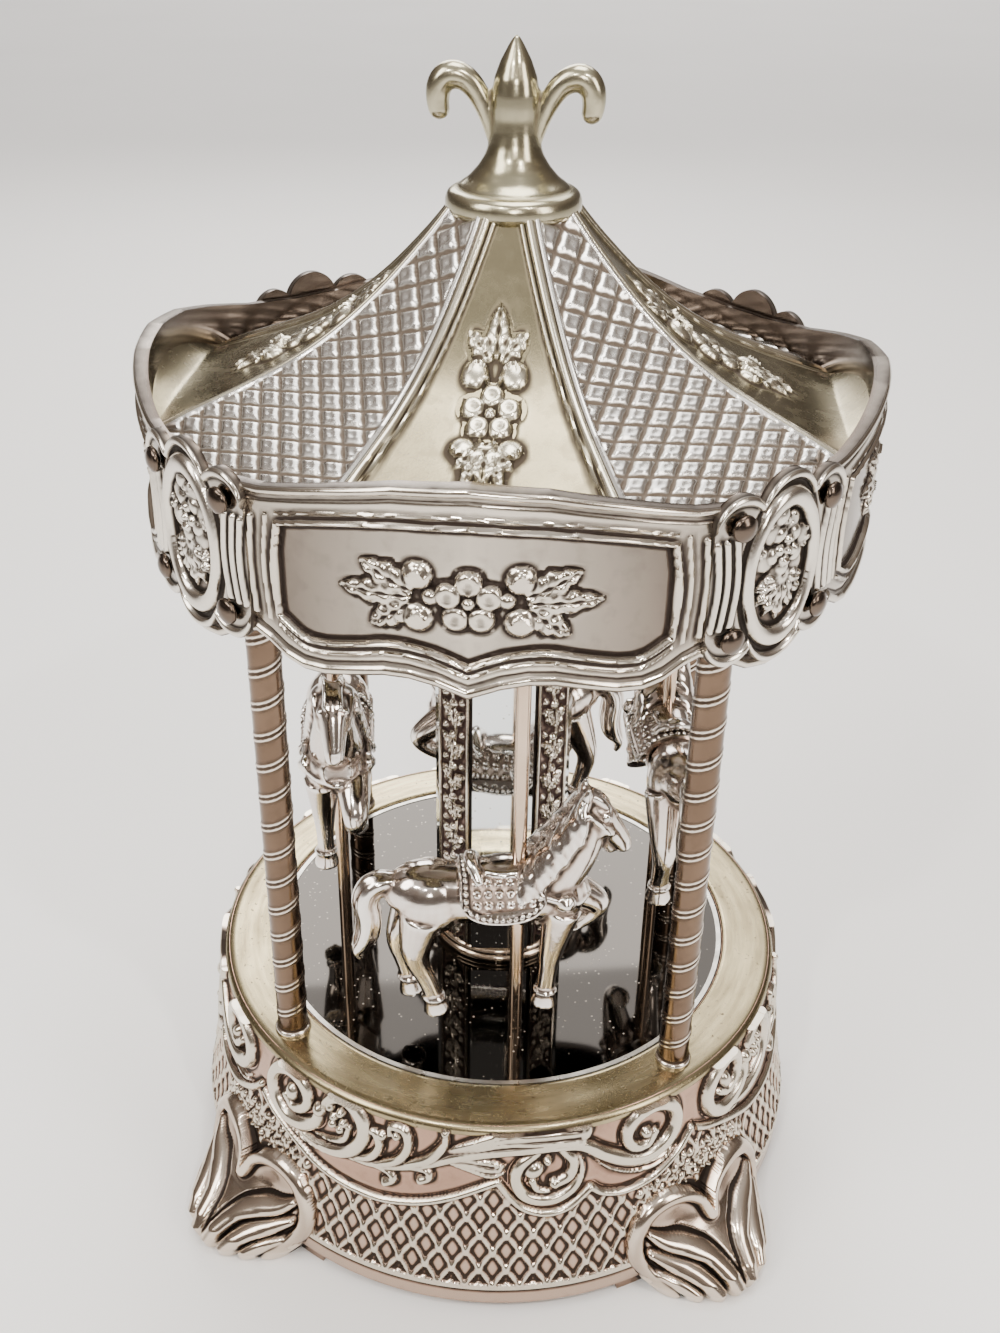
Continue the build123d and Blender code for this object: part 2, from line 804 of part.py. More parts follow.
with BuildPart() as bedplate:
    with BuildSketch(Plane.XY.offset(pillar_foot_z)):
        with Locations((19.5, 0)):
            RectangleRounded(85, 50, 5)
        Circle(arbor_r + running_gap, mode=Mode.SUBTRACT)
        with Locations(*movement_screws_at):
            Circle(1.2, mode=Mode.SUBTRACT)
        with Locations((worm_x, worm_y)):
            Circle(0.56, mode=Mode.SUBTRACT)
    extrude(amount=bedplate_thickness)
save(bedplate.part, "bedplate")

with BuildPart() as movement_screws:
    with BuildSketch(Plane.XY.offset(cover_bottom_z)):
        with Locations(*movement_screws_at):
            Circle(2.4)
    extrude(amount=-1.4)
    with BuildSketch(Plane.XY.offset(cover_bottom_z)):
        with Locations(*movement_screws_at):
            Circle(1.2)
    extrude(amount=cover_thickness + bedplate_thickness)
save(movement_screws.part, "movement_screws")

with BuildPart() as barrel_bridge:
    with BuildSketch(Plane.YZ):
        with BuildLine():
            Polyline(
                (-bridge_leg_y - 1, bedplate_top_z),
                (-bridge_leg_y - 1, bridge_z + 2),
                (bridge_leg_y + 1, bridge_z + 2),
                (bridge_leg_y + 1, bedplate_top_z),
                (bridge_leg_y - 1, bedplate_top_z),
                (bridge_leg_y - 1, bridge_z),
                (1 - bridge_leg_y, bridge_z),
                (1 - bridge_leg_y, bedplate_top_z),
                close=True,
            )
        make_face()
    extrude(amount=6, both=True)
    with BuildSketch(Plane.XY.offset(bridge_z)):
        Circle(2.5 + running_gap)
    extrude(amount=2, mode=Mode.SUBTRACT)
save(barrel_bridge.part, "barrel_bridge")

barrel_bottom_z = 23.5
barrel_cap_z = crown_face_z - 2.0
crown_inner_r = 13.6
crown_outer_r = 16.4


def tooth(base_width, tip_width, height):
    """Corner points of one straight-sided tooth that stands up from y = 0."""
    return [
        (-base_width / 2, -0.3),
        (base_width / 2, -0.3),
        (base_width / 2, 0),
        (tip_width / 2, height),
        (-tip_width / 2, height),
        (-base_width / 2, 0),
    ]


def gear_outline(teeth, root_r, tip_r, base_width, tip_width, turn):
    """Corner points of a spur gear with straight-sided teeth."""
    points = []
    for i in range(teeth):
        centre = math.radians(turn) + 2 * math.pi * i / teeth
        for radius, width in ((root_r, -base_width), (tip_r, -tip_width),
                              (tip_r, tip_width), (root_r, base_width)):
            angle = centre + width / 2 / radius
            points.append((radius * math.cos(angle), radius * math.sin(angle)))
    return points


with BuildPart() as spring_barrel:
    with BuildSketch(Plane.XY.offset(barrel_bottom_z)):
        Circle(barrel_r)
        Circle(arbor_r + running_gap, mode=Mode.SUBTRACT)
    extrude(amount=1.5)
    with BuildSketch(Plane.XY.offset(barrel_bottom_z)):
        Circle(barrel_r)
        Circle(barrel_r - 1.3, mode=Mode.SUBTRACT)
    extrude(amount=barrel_cap_z - barrel_bottom_z)
    with BuildSketch(Plane.XY.offset(barrel_cap_z)):
        Circle(crown_outer_r)
    extrude(amount=crown_face_z - barrel_cap_z)
    with BuildSketch(Plane.XY.offset(crown_face_z)):
        Circle(2.5)
    extrude(amount=shaft_top_z - crown_face_z)
    for i in range(crown_teeth):
        azimuth = 360 * i / crown_teeth + 180 / crown_teeth
        with BuildSketch(tangent_plane(crown_inner_r, azimuth, crown_face_z)):
            Polygon(*tooth(1.3, 0.6, tooth_height), align=None)
        extrude(amount=crown_outer_r - crown_inner_r)
save(spring_barrel.part, "spring_barrel")

# the mainspring: a flat spiral strip between the arbor and the barrel wall

spring_turns = 6
spring_inner_r = 4.0
spring_outer_r = 12.4
spring_strip = 0.5
spring_steps = 28


def spiral(offset):
    """Points along the mainspring's spiral, moved outwards by an offset."""
    count = spring_turns * spring_steps
    pitch = (spring_outer_r - spring_strip - spring_inner_r) / count
    angles = [2 * math.pi * i / spring_steps for i in range(count + 1)]
    return [
        ((spring_inner_r + pitch * i + offset) * math.cos(a),
         (spring_inner_r + pitch * i + offset) * math.sin(a))
        for i, a in enumerate(angles)
    ]


with BuildPart() as mainspring:
    with BuildSketch(Plane.XY.offset(barrel_bottom_z + 2.0)):
        with BuildLine():
            Polyline(*spiral(0), *reversed(spiral(spring_strip)), close=True)
        make_face()
    extrude(amount=8.4)
save(mainspring.part, "mainspring")

with BuildPart() as winding_arbor:
    with BuildSketch(Plane.XY.offset(9)):
        Circle(arbor_r)
    extrude(amount=barrel_cap_z - 0.5 - 9)
save(winding_arbor.part, "winding_arbor")

# a butterfly key on the arbor's lower end

key_top_z = 15.5
key_bottom_z = 4.0
key_wing_x = 8.2
key_wing_z = 8.6
key_wing_r = 5.0

with BuildPart() as winding_key:
    with BuildSketch(Plane.XY.offset(key_bottom_z + 1)):
        Circle(3.2)
    extrude(amount=key_top_z - key_bottom_z - 1)
    with BuildSketch(Plane.XZ):
        with Locations((0, key_wing_z)):
            Rectangle(2 * key_wing_x, 4.4)
        with Locations((-key_wing_x, key_wing_z), (key_wing_x, key_wing_z)):
            Circle(key_wing_r - 0.4)
            Circle(1.8, mode=Mode.SUBTRACT)
    extrude(amount=0.8, both=True)
    with BuildSketch(Plane.XY.offset(9)):
        Circle(arbor_r)
    extrude(amount=10, mode=Mode.SUBTRACT)
save(winding_key.part, "winding_key")

# pinned cylinder with its pinion and great wheel on one shaft along X

pinion_x = crown_r
cylinder_start_x = 20.5
cylinder_length = 21.5
great_wheel_x = 43.0
great_wheel_width = 1.4
great_r = fine_module * great_teeth / 2
small_r = fine_module * small_teeth / 2
worm_wheel_r = fine_module * worm_wheel_teeth / 2
addendum = 0.42
dedendum = 0.58
note_rows = 18
pins_per_row = 5


def across(x, y, z):
    """A plane that faces +X at a point, for wheels on shafts along X."""
    return Plane(origin=(x, y, z), x_dir=(0, 1, 0), z_dir=(1, 0, 0))


with BuildPart() as note_cylinder:
    with BuildSketch(across(cylinder_start_x, 0, cylinder_axis_z)):
        Circle(cylinder_r)
    extrude(amount=cylinder_length)
    with BuildSketch(across(12.4, 0, cylinder_axis_z)):
        Circle(shaft_r)
    extrude(amount=36)
    row_pitch = (cylinder_length - 2.4) / (note_rows - 1)
    for row in range(note_rows):
        for pin in range(pins_per_row):
            turn = 360 * pin / pins_per_row + 137 * row + 20
            start = Location((cylinder_start_x + 1.2 + row * row_pitch, 0, cylinder_axis_z))
            with Locations(start * Location((0, 0, 0), (turn, 0, 0))):
                with Locations((0, 0, cylinder_r)):
                    Box(0.35, 0.35, 0.9)
save(note_cylinder.part, "note_cylinder")

with BuildPart() as cylinder_pinion:
    with BuildSketch(across(pinion_x - 1.3, 0, cylinder_axis_z)):
        Polygon(*gear_outline(pinion_teeth, pinion_r - 0.95, pinion_r + 0.65, 1.35, 0.6, -90),
                align=None)
        Circle(shaft_r, mode=Mode.SUBTRACT)
    extrude(amount=2.6)
save(cylinder_pinion.part, "cylinder_pinion")

with BuildPart() as great_wheel:
    with BuildSketch(across(great_wheel_x, 0, cylinder_axis_z)):
        Polygon(*gear_outline(great_teeth, great_r - dedendum, great_r + addendum, 0.75, 0.4, 0),
                align=None)
        Circle(shaft_r, mode=Mode.SUBTRACT)
    extrude(amount=great_wheel_width)
save(great_wheel.part, "great_wheel")

# layshaft: a small pinion under the great wheel's drive and the worm's wheel

with BuildPart() as layshaft:
    with BuildSketch(across(41.0, layshaft_y, cylinder_axis_z)):
        Circle(layshaft_r)
    extrude(amount=16.2)
    with BuildSketch(across(great_wheel_x - 0.2, layshaft_y, cylinder_axis_z)):
        Polygon(*gear_outline(small_teeth, small_r - dedendum, small_r + addendum, 0.75, 0.4, 18),
                align=None)
    extrude(amount=great_wheel_width + 0.4)
save(layshaft.part, "layshaft")

with BuildPart() as worm_wheel:
    with BuildSketch(across(worm_x - 0.5, layshaft_y, cylinder_axis_z)):
        Polygon(*gear_outline(worm_wheel_teeth, worm_wheel_r - 0.62, worm_wheel_r + 0.4, 0.6, 0.35,
                              180), align=None)
        Circle(layshaft_r, mode=Mode.SUBTRACT)
    extrude(amount=1.0)
save(worm_wheel.part, "worm_wheel")

# governor: an upright two-start worm with an air-brake fly on its lower end

worm_core_r = 0.95
worm_tip_r = 1.95
worm_lead = worm_starts * math.pi * fine_module
worm_length = 2.5 * worm_lead
worm_low_z = cylinder_axis_z - worm_length / 2

thread_root_r = worm_core_r - 0.1
thread_middle_r = (worm_tip_r + thread_root_r) / 2
thread_thickness = 0.4

with BuildPart() as worm_thread:
    with BuildLine() as thread_line:
        Helix(worm_lead, worm_length, thread_middle_r)
    thread_path = thread_line.edges()[0]
    with BuildSketch(Plane(origin=thread_path @ 0, x_dir=(1, 0, 0), z_dir=thread_path % 0)):
        Rectangle(worm_tip_r - thread_root_r, thread_thickness)
    sweep(path=thread_path, is_frenet=True)

with BuildPart() as governor_worm:
    with BuildSketch(Plane(origin=(worm_x, worm_y, pillar_foot_z + 0.5))):
        Circle(0.5)
    extrude(amount=29.8)
    with BuildSketch(Plane(origin=(worm_x, worm_y, worm_low_z - 0.6))):
        Circle(worm_core_r)
    extrude(amount=worm_length + 1.2)
    for start in range(worm_starts):
        turn = 270 + 360 * start / worm_starts
        add(worm_thread.part.rotate(Axis.Z, turn).moved(Location((worm_x, worm_y, worm_low_z))))
save(governor_worm.part, "governor_worm")

with BuildPart() as governor_fly:
    with BuildSketch(Plane(origin=(worm_x, worm_y, 25))):
        Circle(1.3)
        Circle(0.5, mode=Mode.SUBTRACT)
    extrude(amount=8)
    for side_x in (-2.85, 2.85):
        with Locations((worm_x + side_x, worm_y, 29)):
            Box(3.3, 0.5, 7)
save(governor_fly.part, "governor_fly")

plate_low_y = layshaft_y - 2.8
plate_high_y = layshaft_y + 3.5

with BuildPart() as governor_frame:
    for plate_x in (49.4, 55.9):
        with BuildSketch(across(plate_x - 0.5, 0, 0)):
            with Locations(((plate_low_y + plate_high_y) / 2, (bedplate_top_z + 50.9) / 2)):
                Rectangle(plate_high_y - plate_low_y, 50.9 - bedplate_top_z)
            with Locations((layshaft_y, cylinder_axis_z)):
                Circle(layshaft_r + running_gap, mode=Mode.SUBTRACT)
        extrude(amount=1.0)
    with BuildSketch(Plane.XY.offset(49.5)):
        with Locations((52.65, (plate_high_y - 20.5) / 2)):
            Rectangle(7.5, plate_high_y + 20.5)
        with Locations((worm_x, worm_y)):
            Circle(0.56, mode=Mode.SUBTRACT)
    extrude(amount=1.4)
save(governor_frame.part, "governor_frame")

with BuildPart() as cylinder_brackets:
    for bracket_x, foot_x in ((17.8, 21.0), (46.2, 48.0)):
        with BuildSketch(across(bracket_x, 0, 0)):
            with Locations((0, (bedplate_top_z + 45.4) / 2)):
                Rectangle(8, 45.4 - bedplate_top_z)
            with Locations((0, cylinder_axis_z)):
                Circle(shaft_r + running_gap, mode=Mode.SUBTRACT)
        extrude(amount=1.4)
        with Locations((foot_x, 0, bedplate_top_z + 0.7)):
            Box(4.2, 8, 1.4)
save(cylinder_brackets.part, "cylinder_brackets")

# comb: tuned steel teeth just clear of the cylinder's pins, on a cast block

comb_tip_y = 7.1
comb_root_y = 17.0
comb_back_y = 25.0
comb_screws_at = [(26, 21.4), (36.5, 21.4)]

with BuildPart() as comb:
    with BuildSketch(Plane.XY.offset(cylinder_axis_z - 0.5)):
        with Locations((cylinder_start_x + cylinder_length / 2, (comb_root_y + comb_back_y) / 2)):
            Rectangle(cylinder_length - 0.6, comb_back_y - comb_root_y)
        for row in range(note_rows):
            tooth_x = cylinder_start_x + 1.2 + row * row_pitch
            with Locations((tooth_x, (comb_tip_y + comb_root_y) / 2)):
                Rectangle(0.8, comb_root_y - comb_tip_y + 0.2)
        with Locations(*comb_screws_at):
            Circle(0.9, mode=Mode.SUBTRACT)
    extrude(amount=1.0)
save(comb.part, "comb")

with BuildPart() as comb_block:
    with BuildSketch(Plane.XY.offset(bedplate_top_z)):
        with Locations((cylinder_start_x + cylinder_length / 2, (comb_root_y + comb_back_y) / 2 + 0.6)):
            Rectangle(cylinder_length - 1, comb_back_y - comb_root_y - 1.2)
    extrude(amount=cylinder_axis_z - 0.5 - bedplate_top_z)
    with BuildSketch(Plane.XY.offset(cylinder_axis_z - 0.5)):
        with Locations(*comb_screws_at):
            Circle(0.9)
    extrude(amount=-7, mode=Mode.SUBTRACT)
save(comb_block.part, "comb_block")

with BuildPart() as comb_screws:
    with BuildSketch(Plane.XY.offset(cylinder_axis_z + 0.5)):
        with Locations(*comb_screws_at):
            Circle(1.7)
    extrude(amount=1.2)
    with BuildSketch(Plane.XY.offset(cylinder_axis_z + 0.5)):
        with Locations(*comb_screws_at):
            Circle(0.9)
    extrude(amount=-6)
save(comb_screws.part, "comb_screws")
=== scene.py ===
import math

import bpy
import numpy as np
from mathutils import Matrix, Vector


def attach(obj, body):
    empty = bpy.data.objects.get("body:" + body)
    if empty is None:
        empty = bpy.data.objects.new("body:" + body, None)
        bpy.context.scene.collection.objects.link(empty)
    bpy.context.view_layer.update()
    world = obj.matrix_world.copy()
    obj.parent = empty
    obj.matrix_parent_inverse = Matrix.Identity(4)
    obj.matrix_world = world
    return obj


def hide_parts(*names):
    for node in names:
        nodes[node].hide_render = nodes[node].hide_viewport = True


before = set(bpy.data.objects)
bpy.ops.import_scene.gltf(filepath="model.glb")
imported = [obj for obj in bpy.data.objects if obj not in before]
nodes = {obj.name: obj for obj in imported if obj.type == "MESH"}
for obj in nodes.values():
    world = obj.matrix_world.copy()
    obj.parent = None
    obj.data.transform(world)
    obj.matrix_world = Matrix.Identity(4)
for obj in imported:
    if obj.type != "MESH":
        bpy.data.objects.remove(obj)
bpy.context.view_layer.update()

# ---------------------------------------------------------------------- view
# The camera stands in front of the carousel, a little to the right, and looks
# down on the roof, so that the deck and the horses show under the fascia.

bpy.ops.object.select_all(action="DESELECT")
view_yaw = math.radians(-4.949)
view_pitch = math.radians(30.804)
view_roll = math.radians(1.032)
ahead = Vector(
    (
        math.sin(view_yaw) * math.cos(view_pitch),
        math.cos(view_yaw) * math.cos(view_pitch),
        -math.sin(view_pitch),
    )
)
level = Vector((math.cos(view_yaw), -math.sin(view_yaw), 0))
upright = level.cross(ahead)
to_right = level * math.cos(view_roll) + upright * math.sin(view_roll)
to_top = upright * math.cos(view_roll) - level * math.sin(view_roll)
view_turn = Matrix((to_right, to_top, -ahead)).transposed()
bpy.ops.object.camera_add(
    location=(0.025616, -0.308458, 0.323110), rotation=view_turn.to_euler()
)
camera = bpy.context.object
camera.name = "front_view"
camera.data.sensor_fit = "VERTICAL"
camera.data.sensor_height = 36
camera.data.lens = 38.943
camera.data.clip_start = 0.01
bpy.context.scene.camera = camera

# --------------------------------------------------------------------- table
# The music box stands on a plain pale table top under soft studio panels. The
# room beyond is dim and warm, and shows mostly as reflections in the silver.


class Strand:
    """A number that varies over a surface, for sums written as plain Python."""

    def __init__(self, finish, socket):
        self.finish = finish
        self.socket = socket

    def sum_with(self, operation, *values):
        return self.finish.node("ShaderNodeMath", {"operation": operation}, *values)

    def __add__(self, other):
        return self.sum_with("ADD", self, other)

    __radd__ = __add__

    def __sub__(self, other):
        return self.sum_with("SUBTRACT", self, other)

    def __rsub__(self, other):
        return self.sum_with("SUBTRACT", other, self)

    def __mul__(self, other):
        return self.sum_with("MULTIPLY", self, other)

    __rmul__ = __mul__

    def __truediv__(self, other):
        return self.sum_with("DIVIDE", self, other)

    def __pow__(self, other):
        return self.sum_with("POWER", self, other)

    def held(self):
        """The same number kept between 0 and 1."""
        return self.finish.node(
            "ShaderNodeMath", {"operation": "ADD", "use_clamp": True}, self, 0.0
        )


class Finish:
    """One material and the nodes it is mixed from."""

    def __init__(self, name, tree_owner=None):
        self.owner = tree_owner or bpy.data.materials.new(name)
        self.owner.use_nodes = True
        self.tree = self.owner.node_tree
        self.tree.nodes.clear()

    def node(self, kind, settings, *values, out=0, **named):
        """Adds a node: settings first, then its socket values or links in order or by name."""
        made = self.tree.nodes.new(kind)
        for key, value in settings.items():
            if key == "stops":
                ramp = made.color_ramp
                for place, colour in value[1:-1]:
                    ramp.elements.new(place)
                for element, (place, colour) in zip(ramp.elements, value):
                    element.position = place
                    element.color = (*colour, 1)
            else:
                setattr(made, key, value)
        for index, value in enumerate(values):
            self.feed(made.inputs[index], value)
        for key, value in named.items():
            self.feed(made.inputs[key.replace("_", " ")], value)
        if not made.outputs:
            return made
        return Strand(self, made.outputs[out])

    def feed(self, socket, value):
        if isinstance(value, Strand):
            self.tree.links.new(value.socket, socket)
        elif isinstance(value, tuple) and len(value) == 3 and socket.type == "RGBA":
            socket.default_value = (*value, 1)
        else:
            socket.default_value = value

    def blend(self, share, first, second, mode="MIX"):
        """A colour between two colours."""
        made = self.tree.nodes.new("ShaderNodeMix")
        made.data_type = "RGBA"
        made.blend_type = mode
        self.feed(made.inputs["Factor"], share)
        self.feed(made.inputs[6], first)
        self.feed(made.inputs[7], second)
        return Strand(self, made.outputs[2])

    def place(self):
        return self.node("ShaderNodeTexCoord", {}, out=3)

    def cloud(self, size, detail=3.0, where=None):
        """Noise whose patches are about that many metres across."""
        return self.node(
            "ShaderNodeTexNoise", {}, Vector=where or self.place(), Scale=1 / size, Detail=detail
        )

    def surface(self, **sockets):
        shader = self.node("ShaderNodeBsdfPrincipled", {}, **sockets)
        self.node("ShaderNodeOutputMaterial", {}, Surface=shader)
        return self.owner


def table_finish():
    """Smooth white laminate with a faint warm mottle."""
    finish = Finish("table_laminate")
    mottle = finish.cloud(0.25, 2.0)
    return finish.surface(
        Base_Color=finish.blend(mottle, (0.90, 0.895, 0.885), (0.94, 0.935, 0.93)),
        Roughness=mottle * 0.1 + 0.55,
    )


bpy.ops.mesh.primitive_plane_add(size=14, location=(0, 2, 0))
table_top = bpy.context.object
table_top.name = "table_top"
table_top.data.materials.append(table_finish())
bpy.ops.object.transform_apply(location=True, rotation=True, scale=True)


def studio_panel(name, place, aim, width, height, power, colour):
    """A soft light panel that faces a point on the carousel."""
    bpy.ops.object.light_add(
        type="AREA",
        location=place,
        rotation=(Vector(aim) - Vector(place)).to_track_quat("-Z", "Y").to_euler(),
    )
    panel = bpy.context.object
    panel.name = name
    panel.data.shape = "RECTANGLE"
    panel.data.size = width
    panel.data.size_y = height
    panel.data.energy = power
    panel.data.color = colour


studio_panel("panel_left", (-0.75, -0.55, 0.95), (0, 0, 0.12), 0.45, 0.7, 9, (1, 0.96, 0.9))
studio_panel("panel_right", (0.85, -0.5, 0.6), (0, 0, 0.12), 0.28, 0.6, 5, (1, 0.93, 0.86))
studio_panel("panel_top", (0.05, 0.15, 1.2), (0, 0, 0.1), 0.5, 0.5, 8, (1, 0.97, 0.93))
studio_panel("panel_back", (-0.2, 1.0, 0.7), (0, 0, 0.15), 0.6, 0.5, 6, (1, 0.97, 0.93))
studio_panel("panel_far", (0, 3.4, 2.6), (0, 3.4, 0), 3.2, 3.2, 120, (1, 0.98, 0.96))
studio_panel("panel_front", (0.12, -0.95, 0.62), (0, 0, 0.1), 0.16, 0.16, 3, (1, 0.95, 0.88))
studio_panel("spark_left", (-0.18, -0.55, 0.75), (0, 0, 0.1), 0.03, 0.03, 2, (1, 0.97, 0.93))
studio_panel("spark_right", (0.3, -0.45, 0.8), (0, 0, 0.1), 0.03, 0.03, 2, (1, 0.95, 0.9))

room = Finish("room", bpy.data.worlds.new("room"))
bpy.context.scene.world = room.owner
toward = room.node("ShaderNodeTexCoord", {}, out=0)
height_share = room.node("ShaderNodeSeparateXYZ", {}, toward, out=2)
room_glow = room.node(
    "ShaderNodeValToRGB",
    {
        "stops": [
            (0.0, (0.40, 0.34, 0.29)),
            (0.5, (0.30, 0.27, 0.25)),
            (0.6, (0.17, 0.14, 0.12)),
            (0.8, (0.36, 0.30, 0.26)),
            (1.0, (0.95, 0.92, 0.88)),
        ]
    },
    height_share * 0.5 + 0.5,
)
room_back = room.node("ShaderNodeBackground", {}, room_glow, 0.8)
room.node("ShaderNodeOutputWorld", {}, room_back)

# ---------------------------------------------------------------------- base
# The drum of the base is one silver-plated casting in four like sides. Each
# side has scrolls and a leafy stem over a swag moulding, and a ribbed lattice
# of sunk diamonds below it, down to a plain rolled rim.

mm = 0.001
arc_r = 80.0


class Relief:
    """Raised ornament on a flat face, as a height in millimetres at each grid point."""

    def __init__(self, across, up):
        self.x = across
        self.y = up
        self.h = np.zeros_like(across)

    def near(self, low_x, high_x, low_y, high_y):
        return (self.x > low_x) & (self.x < high_x) & (self.y > low_y) & (self.y < high_y)

    def strand(self, line, height, channel=0.0, undercut=0.25, per=7):
        """A cast bead along a smooth line of (x, y, half width) points."""
        path = smooth_line(line, per)
        fullest = path[:, 2].max()
        reach = fullest * 1.5
        area = self.near(
            path[:, 0].min() - reach,
            path[:, 0].max() + reach,
            path[:, 1].min() - reach,
            path[:, 1].max() + reach,
        )
        x = self.x[area]
        y = self.y[area]
        nearest = np.full(x.shape, 9.0)
        width_here = np.full(x.shape, fullest)
        for (ax, ay, aw), (bx, by, bw) in zip(path[:-1], path[1:]):
            run_x, run_y = bx - ax, by - ay
            share = ((x - ax) * run_x + (y - ay) * run_y) / (run_x**2 + run_y**2 + 1e-9)
            share = np.clip(share, 0, 1)
            width = aw + (bw - aw) * share
            gap = np.hypot(x - ax - run_x * share, y - ay - run_y * share) / width
            closer = gap < nearest
            nearest[closer] = gap[closer]
            width_here[closer] = width[closer]
        dome = np.sqrt(np.clip(1 - nearest**2, 0, 1)) * height * (width_here / fullest) ** 0.7
        dome -= channel * np.exp(-((nearest / 0.32) ** 2)) * (nearest < 1)
        ditch = undercut * np.clip(1 - np.abs(nearest - 1.15) / 0.3, 0, 1)
        base = self.h[area]
        self.h[area] = np.where(nearest < 1, np.maximum(base, dome), base - ditch * (base < 0.3))

    def bead(self, x, y, radius, height=None, stretch=1.0, turn=0.0):
        """A round or oval dome."""
        reach = radius * max(1.0, stretch)
        area = self.near(x - reach, x + reach, y - reach, y + reach)
        cos_turn, sin_turn = math.cos(math.radians(turn)), math.sin(math.radians(turn))
        dx = self.x[area] - x
        dy = self.y[area] - y
        long_way = (dx * cos_turn + dy * sin_turn) / stretch
        wide_way = dy * cos_turn - dx * sin_turn
        gap = np.hypot(long_way, wide_way) / radius
        dome = np.sqrt(np.clip(1 - gap**2, 0, 1)) * (height or radius)
        self.h[area] = np.maximum(self.h[area], dome)

    def leaf(self, x, y, turn, length, width, height, veins=4):
        """A pointed leaf with a midrib and side veins, from its stalk outwards."""
        area = self.near(x - length, x + length, y - length, y + length)
        cos_turn, sin_turn = math.cos(math.radians(turn)), math.sin(math.radians(turn))
        dx = self.x[area] - x
        dy = self.y[area] - y
        along = (dx * cos_turn + dy * sin_turn) / length
        aside = (dy * cos_turn - dx * sin_turn) / (width / 2)
        inside = np.clip(along, 0, 1)
        edge = np.sin(np.pi * inside**0.75) ** 0.8 * (1 + 0.08 * np.sin(inside * veins * 6.28))
        gap = np.abs(aside) / np.maximum(edge, 1e-3)
        dome = height * np.sqrt(np.clip(1 - gap**2.5, 0, 1)) * (0.55 + 0.45 * edge)
        dome -= 0.4 * height * np.exp(-((aside / 0.13) ** 2))
        vein = np.cos((inside * veins * 2 - np.abs(aside) * 1.2) * np.pi) * 0.14 * height
        dome += vein * (gap < 0.9)
        dome[(along < 0) | (along > 1) | (gap > 1)] = -1
        base = self.h[area]
        edge_ditch = 0.2 * ((gap >= 1) & (gap < 1.35) & (along > 0) & (along < 1))
        self.h[area] = np.where(dome > 0, np.maximum(base, dome), base - edge_ditch * (base < 0.3))

    def flower(self, x, y, radius, height, petals=5, turn=90.0):
        """An open flower: cupped round petals about a beaded heart."""
        for step in range(petals):
            way = math.radians(turn + step * 360 / petals)
            petal_x = x + math.cos(way) * radius * 0.62
            petal_y = y + math.sin(way) * radius * 0.62
            self.strand([(petal_x, petal_y, radius * 0.43)] * 2, height * 0.2, 0, 0.25, 1)
        for step in range(petals):
            way = math.radians(turn + step * 360 / petals)
            petal_x = x + math.cos(way) * radius * 0.62
            petal_y = y + math.sin(way) * radius * 0.62
            area = self.near(
                petal_x - radius * 0.42,
                petal_x + radius * 0.42,
                petal_y - radius * 0.42,
                petal_y + radius * 0.42,
            )
            gap = np.hypot(self.x[area] - petal_x, self.y[area] - petal_y) / (radius * 0.42)
            cup = height * (np.clip(1 - gap**2, 0, 1) ** 0.5 - 0.35 * np.clip(1 - (gap / 0.6) ** 2, 0, 1))
            self.h[area] = np.maximum(self.h[area], cup)
        self.bead(x, y, radius * 0.22, height * 0.95)


def smooth_line(line, per):
    """Points on a smooth curve through the given points, with their widths."""
    points = np.array(line, float)
    ends = np.vstack((2 * points[0] - points[1], points, 2 * points[-1] - points[-2]))
    path = []
    for index in range(len(points) - 1):
        before, here, there, beyond = ends[index : index + 4]
        for step in range(per):
            t = step / per
            path.append(
                0.5
                * (
                    2 * here
                    + (there - before) * t
                    + (2 * before - 5 * here + 4 * there - beyond) * t**2
                    + (3 * here - before - 3 * there + beyond) * t**3
                )
            )
    path.append(points[-1])
    path = np.array(path)
    path[:, 2] = np.maximum(path[:, 2], 0.05)
    return path


def blurred(height, reach):
    """The mean height round each grid point."""
    for axis in (0, 1):
        pad = [(0, 0), (0, 0)]
        pad[axis] = (reach + 1, reach)
        sums = np.cumsum(np.pad(height, pad, mode="edge"), axis=axis)
        low = [slice(None), slice(None)]
        high = [slice(None), slice(None)]
        low[axis] = slice(0, -2 * reach - 1)
        high[axis] = slice(2 * reach + 1, None)
        height = (sums[tuple(high)] - sums[tuple(low)]) / (2 * reach + 1)
    return height


def write_mark(piece, name, values):
    mark = piece.data.attributes.new(name, "FLOAT", "POINT")
    mark.data.foreach_set("value", np.ascontiguousarray(values, dtype=np.float32))


def close_and_finish(piece, angle=40):
    """Merges seams, fills open ends, turns faces outwards and smooths them."""
    bpy.ops.object.select_all(action="DESELECT")
    piece.select_set(True)
    bpy.context.view_layer.objects.active = piece
    bpy.ops.object.mode_set(mode="EDIT")
    bpy.ops.mesh.select_all(action="SELECT")
    bpy.ops.mesh.remove_doubles(threshold=1e-6)
    bpy.ops.mesh.select_all(action="DESELECT")
    bpy.ops.mesh.select_mode(type="EDGE")
    bpy.ops.mesh.select_non_manifold(
        use_wire=False, use_multi_face=False, use_non_contiguous=False, use_verts=False
    )
    bpy.ops.mesh.fill_holes(sides=0)
    bpy.ops.mesh.select_all(action="SELECT")
    bpy.ops.mesh.normals_make_consistent(inside=False)
    bpy.ops.object.mode_set(mode="OBJECT")
    bpy.ops.object.shade_smooth_by_angle(angle=math.radians(angle))


